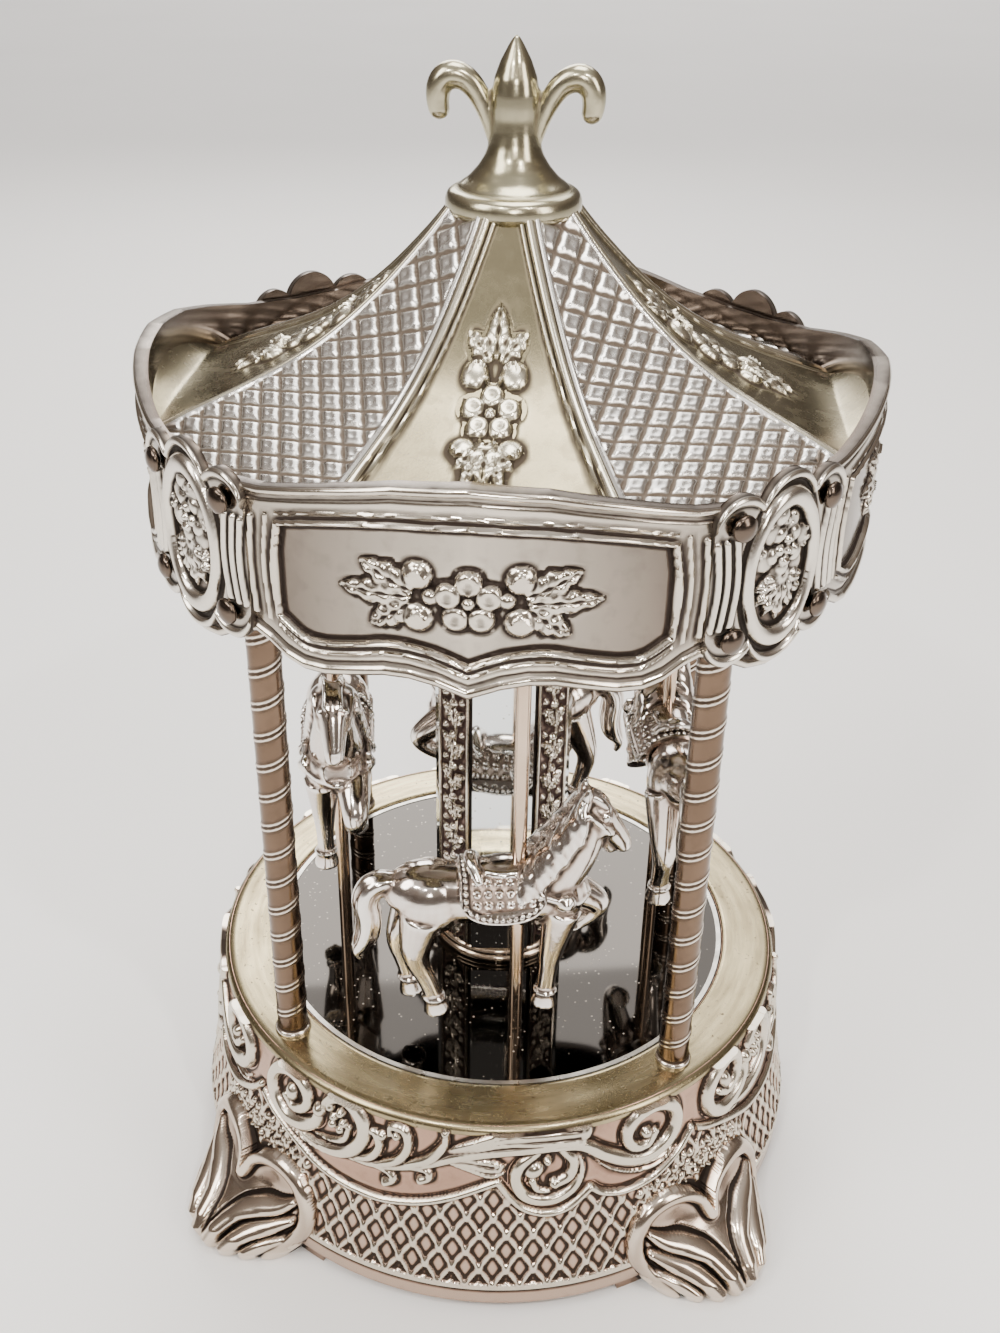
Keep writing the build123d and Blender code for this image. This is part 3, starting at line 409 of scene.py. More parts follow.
def cast_face(name, columns, rows, place, carve, depth, blur=3, scale=0.35, back_rows=1):
    """A closed cast plate: a grid whose front is carved and whose back lies a depth behind it.

    place(u, v, h) gives points in millimetres for shares across and up and a height,
    and carve(u, v) gives the front's heights as an array of rows.
    """
    bpy.ops.object.select_all(action="DESELECT")
    total = rows + 2 + back_rows
    bpy.ops.mesh.primitive_grid_add(x_subdivisions=columns, y_subdivisions=total, size=1)
    piece = bpy.context.object
    piece.name = name
    flat = np.empty(len(piece.data.vertices) * 3)
    piece.data.vertices.foreach_get("co", flat)
    flat = flat.reshape(-1, 3)
    column = np.rint((flat[:, 0] + 0.5) * columns).astype(int)
    row = np.rint((flat[:, 1] + 0.5) * total).astype(int)
    share_u, share_v = np.meshgrid(np.linspace(0, 1, columns + 1), np.linspace(0, 1, rows + 1))
    height = carve(share_u, share_v)
    lie = np.clip((height - blurred(height, blur)) / scale, -1, 1)
    top = height.max() + 1e-6
    back_row = np.rint(rows * (1 - (row - rows - 1) / back_rows)).astype(int)
    behind = (row > rows) & (row < total)
    source_row = np.where(behind, back_row, np.where(row <= rows, row, 0))
    pick = (source_row, column)
    level = np.where(behind, -depth, height[pick])
    moved = place(share_u[pick], share_v[pick], level) * mm
    piece.data.vertices.foreach_set("co", moved.ravel())
    write_mark(piece, "lie", np.where(behind, 0, lie[pick]))
    write_mark(piece, "rise", np.where(behind, 0, np.clip(height[pick] / top, 0, 1)))
    close_and_finish(piece)
    return piece


rim_radius = 82.3


def wall_radius(z):
    """Radius of the drum's wall: narrow under the deck, flaring to the rim."""
    low, waist, high = (rim_radius, 8.0), (77.7, 32.0), (75.0, 56.5)
    a = np.array(
        [[2 * low[0], 2 * low[1], 1], [2 * waist[0], 2 * waist[1], 1], [2 * high[0], 2 * high[1], 1]]
    )
    b = np.array([low[0] ** 2 + low[1] ** 2, waist[0] ** 2 + waist[1] ** 2, high[0] ** 2 + high[1] ** 2])
    centre_r, centre_z, rest = np.linalg.solve(a, b)
    swing = math.sqrt(rest + centre_r**2 + centre_z**2)
    side = 1 if centre_r < 77 else -1
    held = np.clip(z, 8, 56.5)
    return centre_r + side * np.sqrt(swing**2 - (held - centre_z) ** 2)


wall_low_z = 3.95
wall_high_z = 56.2


def carve_wall(u, v):
    x = (u - 0.5) * 2 * math.pi * arc_r / 4
    z = wall_low_z + v * (wall_high_z - wall_low_z)
    work = Relief(x, z)
    swag_x = np.array([-64.5, -60, -54, -48, -42, -36, -30, -23, -16.4, -9.8, -3.1, 3.6, 7.4])
    swag_z = np.array([42.3, 39.6, 37.2, 34.8, 32.5, 31.2, 30.6, 30.5, 31.6, 33.4, 36.2, 39.6, 41.4])
    swag = list(zip(swag_x, swag_z)) + [(10.5, 36.9), (14.3, 33.1), (19.9, 31.2), (25.5, 32.4)]
    swag += [(31.1, 36.9), (34.3, 34.3), (40.5, 32.7), (48, 33.4), (53, 35.4), (57.5, 38.4), (61.2, 42.3)]
    swag_line = np.array(swag)
    bottom = np.interp(x, swag_line[:, 0], swag_line[:, 1])

    # sunk diamonds between crossing ribs
    cell_w, cell_h = 6.6, 10.2
    a = x / cell_w + (z - 9.8) / cell_h
    b = x / cell_w - (z - 9.8) / cell_h
    to_a = np.abs(a - np.rint(a)) * 2
    to_b = np.abs(b - np.rint(b)) * 2
    rib = np.maximum(1 - to_a / 0.31, 1 - to_b / 0.31)
    lattice = 0.95 * np.clip(rib, 0, 1) ** 0.5 - 0.1
    crossing = np.hypot(to_a, to_b)
    lattice = np.maximum(lattice, 1.25 * np.sqrt(np.clip(1 - (crossing / 0.5) ** 2, 0, 1)))
    pad = np.maximum(1 - to_a, 1 - to_b)
    lattice = np.maximum(lattice, 0.28 * np.clip(1 - (pad / 0.58) ** 4, 0, 1))
    field = (z > 10.0) & (z < bottom - 1.3)
    work.h = np.where(field, lattice, 0.12)
    work.h = np.where(z > bottom, 0.05, work.h)
    scallop = 10.2 + 0.5 * np.abs(np.sin(x / cell_w * math.pi))
    work.h = np.where((z < scallop) & (z > 8.8), 0.9, work.h)
    work.h = np.where(z <= 8.8, 0.2 + 0.25 * np.cos((z - 6.3) / 2.6), work.h)

    # rows of small berries beside the feet
    for side in (-1, 1):
        for step_x in range(9):
            for step_z in range(5):
                berry_x = side * (62.8 - step_x * 2.15 - (step_z % 2) * 1.0)
                berry_z = 27.4 + step_z * 1.75 + 0.5 * math.sin(step_x * 2.3 + step_z)
                top_z = np.interp(berry_x, swag_line[:, 0], swag_line[:, 1]) - 1.6
                if berry_z < top_z and step_x + step_z < 10:
                    size = 1.0 + 0.28 * math.sin(step_x * 5.1 + step_z * 3.7)
                    work.bead(berry_x, berry_z, size, 1.5, 1.25, 60 + 25 * math.sin(step_x + step_z))

    # swag moulding with its cusps
    for run in (swag[:13], swag[12:18], swag[17:24]):
        work.strand([(px, pz, 1.0) for px, pz in run], 1.5, 0.0, 0.5)

    # fine double lines over the right swag
    work.strand(
        [(30.5, 47.6, 0.3), (36, 41.2, 0.5), (43.5, 37.3, 0.6), (51, 36.8, 0.6), (56.5, 39.4, 0.3)], 0.8
    )
    work.strand(
        [(33, 47.2, 0.3), (38.5, 41.4, 0.5), (45, 38.9, 0.6), (52, 38.4, 0.5), (56, 40.8, 0.3)], 0.8
    )
    work.strand([(-60.5, 44.6, 0.3), (-56, 40, 0.5), (-49, 37.0, 0.6), (-42, 36.2, 0.4)], 0.7)

    # scroll beside the left foot, curled about a berry
    work.strand(
        [
            (-41.0, 49.6, 1.5), (-42.2, 45.2, 1.9), (-46.5, 41.9, 2.0), (-52.5, 41.0, 2.1),
            (-57.2, 44.0, 2.1),
            (-58.6, 49.0, 2.1), (-56.0, 54.0, 2.1), (-51.0, 56.3, 2.0), (-46.6, 54.6, 1.9),
            (-44.9, 50.6, 1.7),
            (-46.6, 46.8, 1.6), (-50.2, 45.2, 1.4), (-53.4, 46.8, 1.2),
        ],
        2.5,
        0.35,
    )
    work.bead(-41.0, 49.8, 2.0, 2.6)
    work.bead(-51.0, 49.2, 2.0, 2.2, 1.3, 100)

    # second scroll with its crescent and cluster of seeds
    work.strand(
        [
            (-52.0, 39.9, 0.4), (-44.0, 38.6, 1.3), (-36.5, 39.2, 1.7), (-31.0, 42.0, 2.0),
            (-27.8, 46.6, 2.1),
            (-27.6, 52.0, 2.1), (-31.0, 56.4, 2.0), (-35.6, 56.4, 1.8), (-39.0, 52.8, 1.4),
            (-39.6, 50.6, 1.0),
        ],
        2.5,
        0.4,
    )
    work.strand([(-42.5, 41.2, 0.3), (-37.0, 42.2, 0.8), (-33.0, 44.4, 1.1), (-31.8, 48.6, 0.9)], 1.6)
    for seed_x, seed_z in (
        (-36.2, 50.2), (-34.2, 52.2), (-33.4, 49.4), (-36.6, 47.8), (-34.2, 47.2), (-37.4, 52.6)
    ):
        work.bead(seed_x, seed_z, 1.35, 2.2)

    # the stem and its hooked shoots
    stem = [
        (-31.5, 39.6, 0.9), (-25.0, 40.4, 1.2), (-18.0, 42.0, 1.3), (-10.0, 45.0, 1.4),
        (-3.0, 48.4, 1.6)
    ]
    work.strand(stem + [(5.0, 50.6, 1.7), (12.0, 51.4, 1.7), (21.0, 51.8, 1.7)], 1.9, 0.2)
    work.strand(
        [
            (-29.6, 40.4, 0.9), (-25.0, 42.8, 1.3), (-23.0, 46.8, 1.3), (-24.2, 50.6, 1.2),
            (-27.0, 49.6, 0.8)
        ],
        2.1, 0.2
    )
    work.bead(-22.2, 50.4, 1.5, 2.1)
    work.strand(
        [
            (-22.8, 41.2, 0.9), (-17.6, 44.4, 1.3), (-15.2, 49.2, 1.4), (-16.2, 53.8, 1.3),
            (-19.6, 54.0, 1.1), (-20.2, 51.2, 0.8)
        ],
        2.2,
        0.2,
    )
    work.bead(-18.3, 51.6, 1.4, 2.1)
    work.strand([(-15.5, 43.4, 1.0), (-9.8, 46.6, 1.4), (-6.2, 51.2, 1.3), (-5.4, 55.6, 0.9)], 2.0, 0.25)
    work.bead(-5.8, 55.4, 1.2, 1.9)
    work.strand([(-25.6, 40.2, 0.7), (-20.6, 39.7, 0.9), (-19.0, 37.7, 1.1), (-21.0, 36.2, 1.3)], 1.9)
    work.strand([(-15.4, 42.4, 0.7), (-10.8, 42.9, 0.9), (-9.6, 41.0, 1.1), (-11.8, 39.6, 1.3)], 1.9)

    # broad ridged leaves about the middle
    for lift, wide in ((0.0, 1.1), (-2.1, 1.3), (-4.1, 1.1)):
        work.strand(
            [
                (-7.4, 48.8, 0.3), (0.5, 52.8 + lift * 0.4, wide * 0.8), (9.4, 56.4 + lift * 0.7, wide),
                (20.5, 57.2 + lift, wide), (29.0, 56.6 + lift, wide * 0.9)
            ],
            1.9,
            0.15,
        )
    work.bead(29.4, 54.6, 2.0, 2.1, 1.3, 70)
    for lift, wide in ((0.9, 0.9), (-1.1, 1.2), (-2.9, 0.9)):
        work.strand(
            [
                (-8.0, 47.2, 0.3), (-1.0, 47.6 + lift * 0.6, wide), (5.5, 46.6 + lift, wide),
                (8.8, 45.8 + lift * 0.5, 0.5)
            ],
            1.7, 0.1
        )
    work.bead(7.4, 45.6, 1.4, 1.7)

    # the stem runs on into the large scroll
    work.strand(
        [
            (19.0, 51.9, 1.5), (28.0, 51.0, 1.7), (34.2, 46.6, 1.9), (40.4, 42.9, 2.1), (46.8, 41.4, 2.1),
            (52.6, 43.3, 2.1), (55.8, 47.8, 2.0), (54.6, 53.0, 2.0), (49.4, 56.0, 1.9), (43.6, 54.8, 1.9),
            (40.8, 50.4, 1.8), (42.4, 45.9, 1.6), (46.6, 44.9, 1.4), (49.2, 47.6, 1.2),
        ],
        2.5,
        0.4,
    )
    work.bead(46.4, 48.6, 1.7, 2.2)

    # pair of curls that hangs under the stem
    work.strand(
        [
            (17.4, 50.0, 1.0), (13.2, 46.6, 1.5), (11.9, 42.4, 1.7), (13.6, 38.0, 1.7), (17.6, 35.7, 1.6),
            (22.2, 35.7, 1.5), (26.6, 38.2, 1.3), (28.6, 42.4, 1.0), (28.0, 46.8, 0.7), (26.0, 49.8, 0.4),
        ],
        2.1,
        0.25,
    )
    work.strand([(23.0, 50.6, 1.0), (26.2, 46.8, 1.5), (25.6, 42.6, 1.5), (22.0, 40.4, 1.3)], 2.3, 0.2)
    work.bead(21.6, 40.6, 1.5, 2.3)
    work.bead(16.4, 45.2, 2.4, 2.5, 1.2, 30)
    work.strand([(16.0, 41.8, 1.2), (17.2, 39.0, 1.0), (20.2, 38.0, 0.7)], 1.7)
    work.bead(19.8, 47.6, 1.2, 2.2)
    return work.h


def place_wall(azimuth):
    def place(u, v, h):
        turn = math.radians(azimuth) + (u - 0.5) * math.pi / 2
        z = wall_low_z + v * (wall_high_z - wall_low_z)
        radius = wall_radius(z) + 0.12 + h
        return np.stack((radius * np.sin(turn), -radius * np.cos(turn), z), axis=-1)

    return place


def silver_finish(name, field, crest_highlight_colour, dark, gloss=0.2, patch=0.35, grain=0.0):
    """Worn silver plate. Its field colour is partly tarnish and partly a painted reflection of the warm
    dim room, a painted highlight brightens the crests, and tarnish together with painted shade darkens
    the hollows.
    """
    finish = Finish(name)
    where = finish.place()
    lie = finish.node("ShaderNodeAttribute", {"attribute_name": "lie"}, out=2)
    rise = finish.node("ShaderNodeAttribute", {"attribute_name": "rise"}, out=2)
    cloud = finish.cloud(0.018, 4.0, where)
    smear = finish.cloud(0.004, 3.0, where)
    fine = finish.cloud(0.0006, 2.0, where)
    # painted shade together with tarnish: the hollows of the relief go dark, rougher and less metallic
    sunk = (lie * -2.2 + (smear - 0.5) * 0.6).held()
    # painted highlight: crests and rounded edges are blended towards the bright crest colour
    crest_highlight_share = (rise * 1.6 + lie * 0.8).held()
    # field colour: partly tarnish and partly a painted reflection of the room, with darker patches
    plain = finish.blend((cloud * 2.4 - 0.75).held() * patch, field, tuple(c * 0.62 for c in field))
    body = finish.blend(crest_highlight_share, plain, crest_highlight_colour)
    colour = finish.blend(sunk, body, dark)
    rough = sunk * 0.4 + cloud * 0.14 + fine * 0.05 + (gloss - 0.08)
    bump = finish.node(
        "ShaderNodeBump", {}, Strength=0.18 + grain, Distance=0.00012, Height=smear * 0.7 + fine * 0.4
    )
    return finish.surface(
        Base_Color=colour, Metallic=1.0 - sunk * 0.35, Roughness=rough.held(), Normal=bump
    )


# The pinkish field colour is partly tarnish and partly a painted reflection of warm surroundings in front
# and below.
wall_finish = silver_finish(
    "wall_silver", (0.44, 0.275, 0.20), (0.66, 0.60, 0.50), (0.035, 0.022, 0.015), 0.2
)
for side, azimuth in (("front", 0), ("right", 90), ("back", 180), ("left", 270)):
    wall = cast_face(f"base_wall_{side}", 300, 132, place_wall(azimuth), carve_wall, 2.4)
    wall.data.materials.append(wall_finish)
    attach(wall, "housing")


# ---------------------------------------------------------------------- deck
# The top of the base is a plain ring turned and polished, with a rounded outer
# edge and a fine lip round the mirror. Its olive-gold colour is partly tarnish and partly a painted
# reflection of the room above, and it is streaked.


def turned(name, profile, steps=160):
    """A ring or a knob: a closed outline of (radius, height) in millimetres, spun about the axis."""
    bpy.ops.object.select_all(action="DESELECT")
    bpy.ops.mesh.primitive_circle_add(vertices=len(profile), radius=mm)
    piece = bpy.context.object
    piece.name = name
    for vertex, (radius, height) in zip(piece.data.vertices, profile):
        vertex.co = (radius * mm, 0, height * mm)
    bpy.ops.object.mode_set(mode="EDIT")
    bpy.ops.mesh.select_all(action="SELECT")
    bpy.ops.mesh.spin(steps=steps, angle=2 * math.pi, center=(0, 0, 0), axis=(0, 0, 1))
    bpy.ops.object.mode_set(mode="OBJECT")
    close_and_finish(piece, 50)
    return piece


def streaked_finish(name, first, second, dark, gloss):
    """Polished plate with streaks of tarnish that run round the ring."""
    finish = Finish(name)
    where = finish.place()
    parts = finish.node("ShaderNodeSeparateXYZ", {}, where)
    x = parts
    y = Strand(finish, parts.socket.node.outputs[1])
    radius = (x * x + y * y) ** 0.5
    turn = finish.node("ShaderNodeMath", {"operation": "ARCTAN2"}, x, y)
    round_way = finish.node("ShaderNodeCombineXYZ", {}, radius * 260, turn * 2.2, 0.0)
    streak = finish.node("ShaderNodeTexNoise", {}, Vector=round_way, Scale=2.0, Detail=4.0)
    cloud = finish.cloud(0.02, 3.0, where)
    speck = finish.cloud(0.0011, 2.0, where)
    spots = ((speck - 0.66) * 9.0).held()
    share = (streak * 1.5 + cloud * 0.9 - 0.7).held()
    colour = finish.blend(share, first, second)
    colour = finish.blend(spots * 0.5, colour, dark)
    rough = share * 0.12 + spots * 0.3 + gloss
    bump = finish.node("ShaderNodeBump", {}, Strength=0.1, Distance=0.0001, Height=streak)
    return finish.surface(Base_Color=colour, Metallic=1.0, Roughness=rough.held(), Normal=bump)


# olive-gold first colour: partly tarnish and partly a painted reflection of the room above the deck
deck_finish = streaked_finish(
    "deck_silver", (0.44, 0.375, 0.225), (0.22, 0.18, 0.105), (0.06, 0.045, 0.03), 0.2
)
deck_outline = [
    (61.55, 54.9), (61.55, 57.1), (61.75, 57.5), (62.2, 57.7), (62.9, 57.75), (64.0, 57.6),
    (68.0, 57.62), (72.4, 57.62), (73.6, 57.5), (74.6, 57.1), (75.3, 56.4), (75.55, 55.6), (75.4, 54.9),
    (74.6, 54.8), (74.2, 57.2), (62.4, 57.2), (62.2, 54.9),
]
deck = turned("deck_ring", deck_outline, 200)
deck.data.materials.append(deck_finish)
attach(deck, "housing")


def dress(node_names, material):
    """Gives CAD nodes a material of their own."""
    for node_name in node_names:
        data = nodes[node_name].data
        data.materials.clear()
        data.materials.append(material)


dress(["base_shell"], wall_finish)

# -------------------------------------------------------------- mirror floor
# The floor that turns is a disc of dark silvered glass in a metal rim. Dust
# lies on it, and its reflections stay sharp.


def glass_finish(name, tone, dust, gloss):
    """Silvered glass with scattered dust specks."""
    finish = Finish(name)
    where = finish.place()
    speck = finish.node("ShaderNodeTexVoronoi", {}, Vector=where, Scale=520.0)
    cover = finish.cloud(0.012, 2.0, where)
    spots = ((0.16 - speck) * 14.0).held() * ((cover - 0.42) * 5.0).held()
    haze = finish.cloud(0.03, 4.0, where)
    colour = finish.blend(spots * 0.75, tone, dust)
    rough = spots * 0.5 + haze * 0.05 + gloss
    return finish.surface(
        Base_Color=colour, Metallic=1.0 - spots * 0.8, Roughness=rough.held(), Specular_IOR_Level=0.6
    )


dress(["mirror_floor"], glass_finish("dark_mirror", (0.05, 0.046, 0.042), (0.5, 0.45, 0.38), 0.02))


def metal_finish(name, light, dark, gloss, size=0.004):
    """Plain machined metal with a soft mottle and a fine grain."""
    finish = Finish(name)
    where = finish.place()
    cloud = finish.cloud(size, 4.0, where)
    fine = finish.cloud(size / 9, 2.0, where)
    share = (cloud * 1.9 - 0.5).held()
    bump = finish.node("ShaderNodeBump", {}, Strength=0.12, Distance=0.00008, Height=fine)
    return finish.surface(
        Base_Color=finish.blend(share, light, dark),
        Metallic=1.0,
        Roughness=(share * 0.14 + fine * 0.08 + gloss).held(),
        Normal=bump,
    )


dress(
    ["turntable_plate", "turntable_hub"],
    metal_finish("turned_metal", (0.62, 0.60, 0.55), (0.40, 0.38, 0.34), 0.2)
)

# ---------------------------------------------------------------------- feet
# Four silver-plated feet are cast one by one and screwed to the drum's corners
# from inside. Two curled leaves meet in a V and sweep down to a single toe.

foot_half = 25.0
foot_top_z = 29.0
corner_azimuths = {"front_right": 45, "back_right": 135, "back_left": 225, "front_left": 315}
toe_profile = (
    (0, 95), (1.2, 96.8), (4.5, 97.8), (7.5, 95.6), (11, 91), (14.5, 87.4), (18, 84.6), (24, 81.6),
    (29, 79.4)
)


def carve_foot(u, v):
    across = (u - 0.5) * 2 * foot_half
    z = v * foot_top_z
    out = np.abs(across)
    reach = np.interp(z, [p[0] for p in toe_profile], [p[1] for p in toe_profile]) - wall_radius(z)
    spread = np.interp(z, [0, 5, 12, 20, 29], [18, 20, 22.5, 24.5, 26.5])
    body = reach * np.clip(1 - (out / spread) ** 2.0, 0, 1)
    body = body - 1.3 * np.exp(-(((out - 8.5) / 4.2) ** 2) - ((z - 19.6) / 3.2) ** 2)

    work = Relief(out, z)
    rim = [
        (0.2, 18.6), (2.0, 22.6), (6.4, 25.6), (12.4, 26.3), (17.8, 24.0), (21.0, 18.6), (21.3, 12.4),
        (18.4, 6.8), (15.6, 3.0), (14.0, -1)
    ]
    work.strand([(a, b, 2.1) for a, b in rim], 2.2, 0.0, 0.6)
    work.strand(
        [
            (17.6, 18.6, 1.2), (14.2, 16.2, 2.0), (9.2, 14.2, 2.3), (4.9, 11.2, 2.2), (2.4, 5.6, 1.9),
            (1.7, -1, 1.6)
        ],
        2.8, 0, 1.4
    )
    work.strand(
        [(17.9, 13.4, 1.2), (14.2, 11.4, 2.0), (10.0, 9.0, 2.2), (7.0, 4.8, 2.0), (5.6, -1, 1.8)], 2.6,
        0, 1.4
    )
    work.strand([(18.0, 8.4, 1.0), (14.2, 6.6, 1.8), (11.2, 3.4, 1.9), (10.0, -1, 1.6)], 2.3, 0, 1.4)
    folds = work.h

    top = np.interp(
        out, [0, 1.4, 4, 8, 13, 18, 21.4, 23.4, 23.7],
        [19.6, 23.2, 26.0, 28.1, 28.7, 26.9, 22.8, 17.4, 12.5]
    )
    low = np.interp(out, [0, 16.2, 19.2, 21.6, 23.4, 23.7], [-1, -1, 3.2, 6.8, 10.6, 12.4])
    leaf = (z < top) & (z >= low) & (out < 23.7)
    wedge = (out < (z - 19.3) * 1.15) & (z < 27.4) & (z > 19.3)
    height = np.where(leaf, body + folds + 0.5, -0.7)
    height = np.where(wedge & ~leaf, 1.5 - (z - 19.3) * 0.1, height)

    berries = Relief(across, z)
    berries.h = height
    for side in (-1, 1):
        for place_x, place_z, size in ((17.6, 4.2, 1.5), (19.4, 6.4, 1.2), (15.6, 2.0, 1.4)):
            area = berries.near(side * place_x - 2, side * place_x + 2, place_z - 2, place_z + 2)
            gap = np.hypot(across[area] - side * place_x, z[area] - place_z) / size
            lump = np.sqrt(np.clip(1 - gap**2, 0, 1)) * 1.6 + np.maximum(height[area], 0) * 0.6 + 1.0
            height[area] = np.where(gap < 1, np.maximum(height[area], lump), height[area])
    return height


def place_foot(azimuth):
    def place(u, v, h):
        z = v * foot_top_z
        turn = math.radians(azimuth) + (u - 0.5) * 2 * foot_half / rim_radius
        radius = wall_radius(z) + h
        return np.stack((radius * np.sin(turn), -radius * np.cos(turn), z), axis=-1)

    return place


foot_finish = silver_finish(
    "foot_silver", (0.30, 0.205, 0.15), (0.70, 0.60, 0.50), (0.022, 0.014, 0.01), 0.16, 0.5
)
for corner, azimuth in corner_azimuths.items():
    foot = cast_face(f"foot_casting_{corner}", 170, 96, place_foot(azimuth), carve_foot, 1.8, 5, 0.9)
    foot.data.materials.append(foot_finish)
    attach(foot, "housing")
    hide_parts(f"foot_{corner}")

# --------------------------------------------------------------------- posts
# Four round posts stand on the deck and carry the canopy. Each is a silver-
# plated rod with a fine spiral groove rolled into it and a small foot collar.

post_ring = 67.5
post_radius = 3.7
post_low_z = 57.3
post_high_z = 200.0
groove_pitch = 8.2


def carve_post(u, v):
    z = post_low_z + v * (post_high_z - post_low_z)
    swing = (z - post_low_z) / groove_pitch - u
    gap = np.abs(swing - np.rint(swing)) * groove_pitch
    height = -0.34 * np.exp(-((gap / 0.3) ** 2)) + 0.2 * np.exp(-(((gap - 0.7) / 0.3) ** 2))
    collar = np.sqrt(np.clip(1 - ((z - post_low_z - 0.75) / 0.85) ** 2, 0, 1)) * 0.75
    height = np.where(z < post_low_z + 2.4, 0, height)
    return np.maximum(height, collar)


def place_post(azimuth):
    axis_x = post_ring * math.sin(math.radians(azimuth))
    axis_y = -post_ring * math.cos(math.radians(azimuth))

    def place(u, v, h):
        turn = u * 2 * math.pi
        z = post_low_z + v * (post_high_z - post_low_z)
        radius = post_radius + h
        x = axis_x + radius * np.sin(turn)
        y = axis_y - radius * np.cos(turn)
        return np.stack((x, y, z), axis=-1)

    return place


# The dark brown field is partly a painted reflection, and the bright crest colour paints the highlights
# that run along the lips of the spiral groove.
post_finish = silver_finish(
    "post_silver", (0.17, 0.115, 0.08), (0.90, 0.82, 0.72), (0.05, 0.032, 0.02), 0.17, 0.55
)
for corner, azimuth in corner_azimuths.items():
    post = cast_face(
        f"grooved_post_{corner}", 36, 400, place_post(azimuth), carve_post, post_radius, 2, 0.16
    )
    post.data.materials.append(post_finish)
    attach(post, "housing")
    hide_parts(f"post_{corner}")

# -------------------------------------------------------------------- column
# The column in the middle has eight faces: four mirror strips and between them
# four cast strips of leaves and berries, on a dark core with open gaps. A
# rounded ring holds its foot on the mirror.

column_turn = 5
column_low_z = 61.0
column_high_z = 203.8
relief_width = 10.2
strip_apothem = 16.9


def carve_column(u, v):
    x = (u - 0.5) * relief_width
    tall = column_high_z - column_low_z
    z = v * tall
    work = Relief(x, z)
    work.h[:] = 0.2
    work.strand(
        [(math.sin(s * 0.62) * 1.1, s * 3.0, 0.45) for s in range(int(tall / 3) + 1)], 1.1, 0, 0.15, 4
    )
    steps = int(tall / 9.4)
    for step in range(steps + 1):
        level = step * 9.4 + 2.0
        lean = 6 * math.sin(step * 1.7)
        work.leaf(0.2, level, 58 + lean, 5.8, 3.0, 1.5, 3)
        work.leaf(-0.2, level + 1.0, 122 + lean, 5.8, 3.0, 1.5, 3)
        work.leaf(0.4, level + 3.4, 18 + lean, 4.3, 2.4, 1.3, 2)
        work.leaf(-0.4, level + 4.4, 162 + lean, 4.3, 2.4, 1.3, 2)
        work.bead(0.2 * math.sin(step), level + 6.6, 1.35, 1.7)
        work.bead(2.9, level + 7.6, 0.95, 1.3)
        work.bead(-2.9, level + 8.4, 0.95, 1.3)
    work.h = np.maximum(work.h, 0.9 * (np.abs(x) > relief_width / 2 - 0.6))
    return work.h


def place_column(azimuth):
    turn = math.radians(azimuth + column_turn)

    def place(u, v, h):
        x = (u - 0.5) * relief_width
        z = column_low_z + v * (column_high_z - column_low_z)
        out = strip_apothem + h * 0.85
        return np.stack(
            (out * math.sin(turn) + x * math.cos(turn), -out * math.cos(turn) + x * math.sin(turn), z),
            axis=-1
        )

    return place


column_finish = silver_finish(
    "column_relief", (0.26, 0.175, 0.14), (0.82, 0.76, 0.66), (0.06, 0.035, 0.03), 0.18, 0.5
)
for corner, azimuth in corner_azimuths.items():
    strip = cast_face(
        f"column_strip_{corner}", 30, 330, place_column(azimuth), carve_column, 0.25, 3, 0.45
    )
    strip.data.materials.append(column_finish)
    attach(strip, "carousel")
    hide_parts("column_reliefs")

ring_outline = [
    (15.2, 57.0), (18.0, 57.0), (18.4, 57.5), (18.4, 58.2), (17.9, 58.7), (17.7, 58.9), (18.0, 59.3),
    (17.9, 60.1), (17.3, 60.8), (16.4, 61.1), (15.2, 61.1),
]
foot_ring = turned("column_ring", ring_outline, 96)
foot_ring.data.materials.append(
    silver_finish("ring_silver", (0.66, 0.54, 0.42), (0.84, 0.78, 0.70), (0.06, 0.04, 0.03), 0.14, 0.4)
)
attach(foot_ring, "carousel")
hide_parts("column_foot_ring")

dress(["column_mirrors"], glass_finish("strip_mirror", (0.82, 0.86, 0.88), (0.62, 0.58, 0.5), 0.02))
dress(["column_core"], metal_finish("dark_core", (0.05, 0.042, 0.036), (0.022, 0.018, 0.016), 0.42))

# --------------------------------------------------------------------- poles
# Each horse is threaded on a smooth plated pole that runs from the turntable
# up to the round plate under the canopy.

pole_finish = metal_finish("pole_silver", (0.74, 0.58, 0.45), (0.54, 0.40, 0.29), 0.08, 0.012)
dress(["pole_front", "pole_right", "pole_back", "pole_left"], pole_finish)
dress(["pole_plate"], metal_finish("plate_metal", (0.40, 0.36, 0.31), (0.24, 0.21, 0.18), 0.3))

# -------------------------------------------------------------------- fascia
# The deep band round the canopy is cast in four sides, each framed by double
# mouldings along its serpentine edges, with a spray of flowers and leaves on
# its smooth panel. The inside is polished plain.

fascia_r = 80.1
top_edge = ((0, 222.4), (14, 221.4), (27, 218.9), (42, 215.6), (57, 214.0), (63, 214.0))
low_edge = (
    (0, 179.8), (2.5, 180.7), (6, 182.0), (11, 182.9), (16, 182.7), (22, 181.3), (28, 179.9),
    (33, 179.6), (37, 180.6), (41, 182.8), (45, 184.0), (50, 182.0), (57, 178.0), (63, 177.0),
)
frame_low = (
    (0, 186.4), (2.5, 187.5), (6, 188.8), (11, 189.7), (16, 189.5), (22, 188.0), (28, 186.7),
    (33, 186.7), (38.6, 189.6)
)
frame_top = ((0, 214.8), (14, 213.9), (27, 211.9), (38.0, 209.2))


def along_edge(edge, x):
    return np.interp(np.abs(x), [p[0] for p in edge], [p[1] for p in edge])


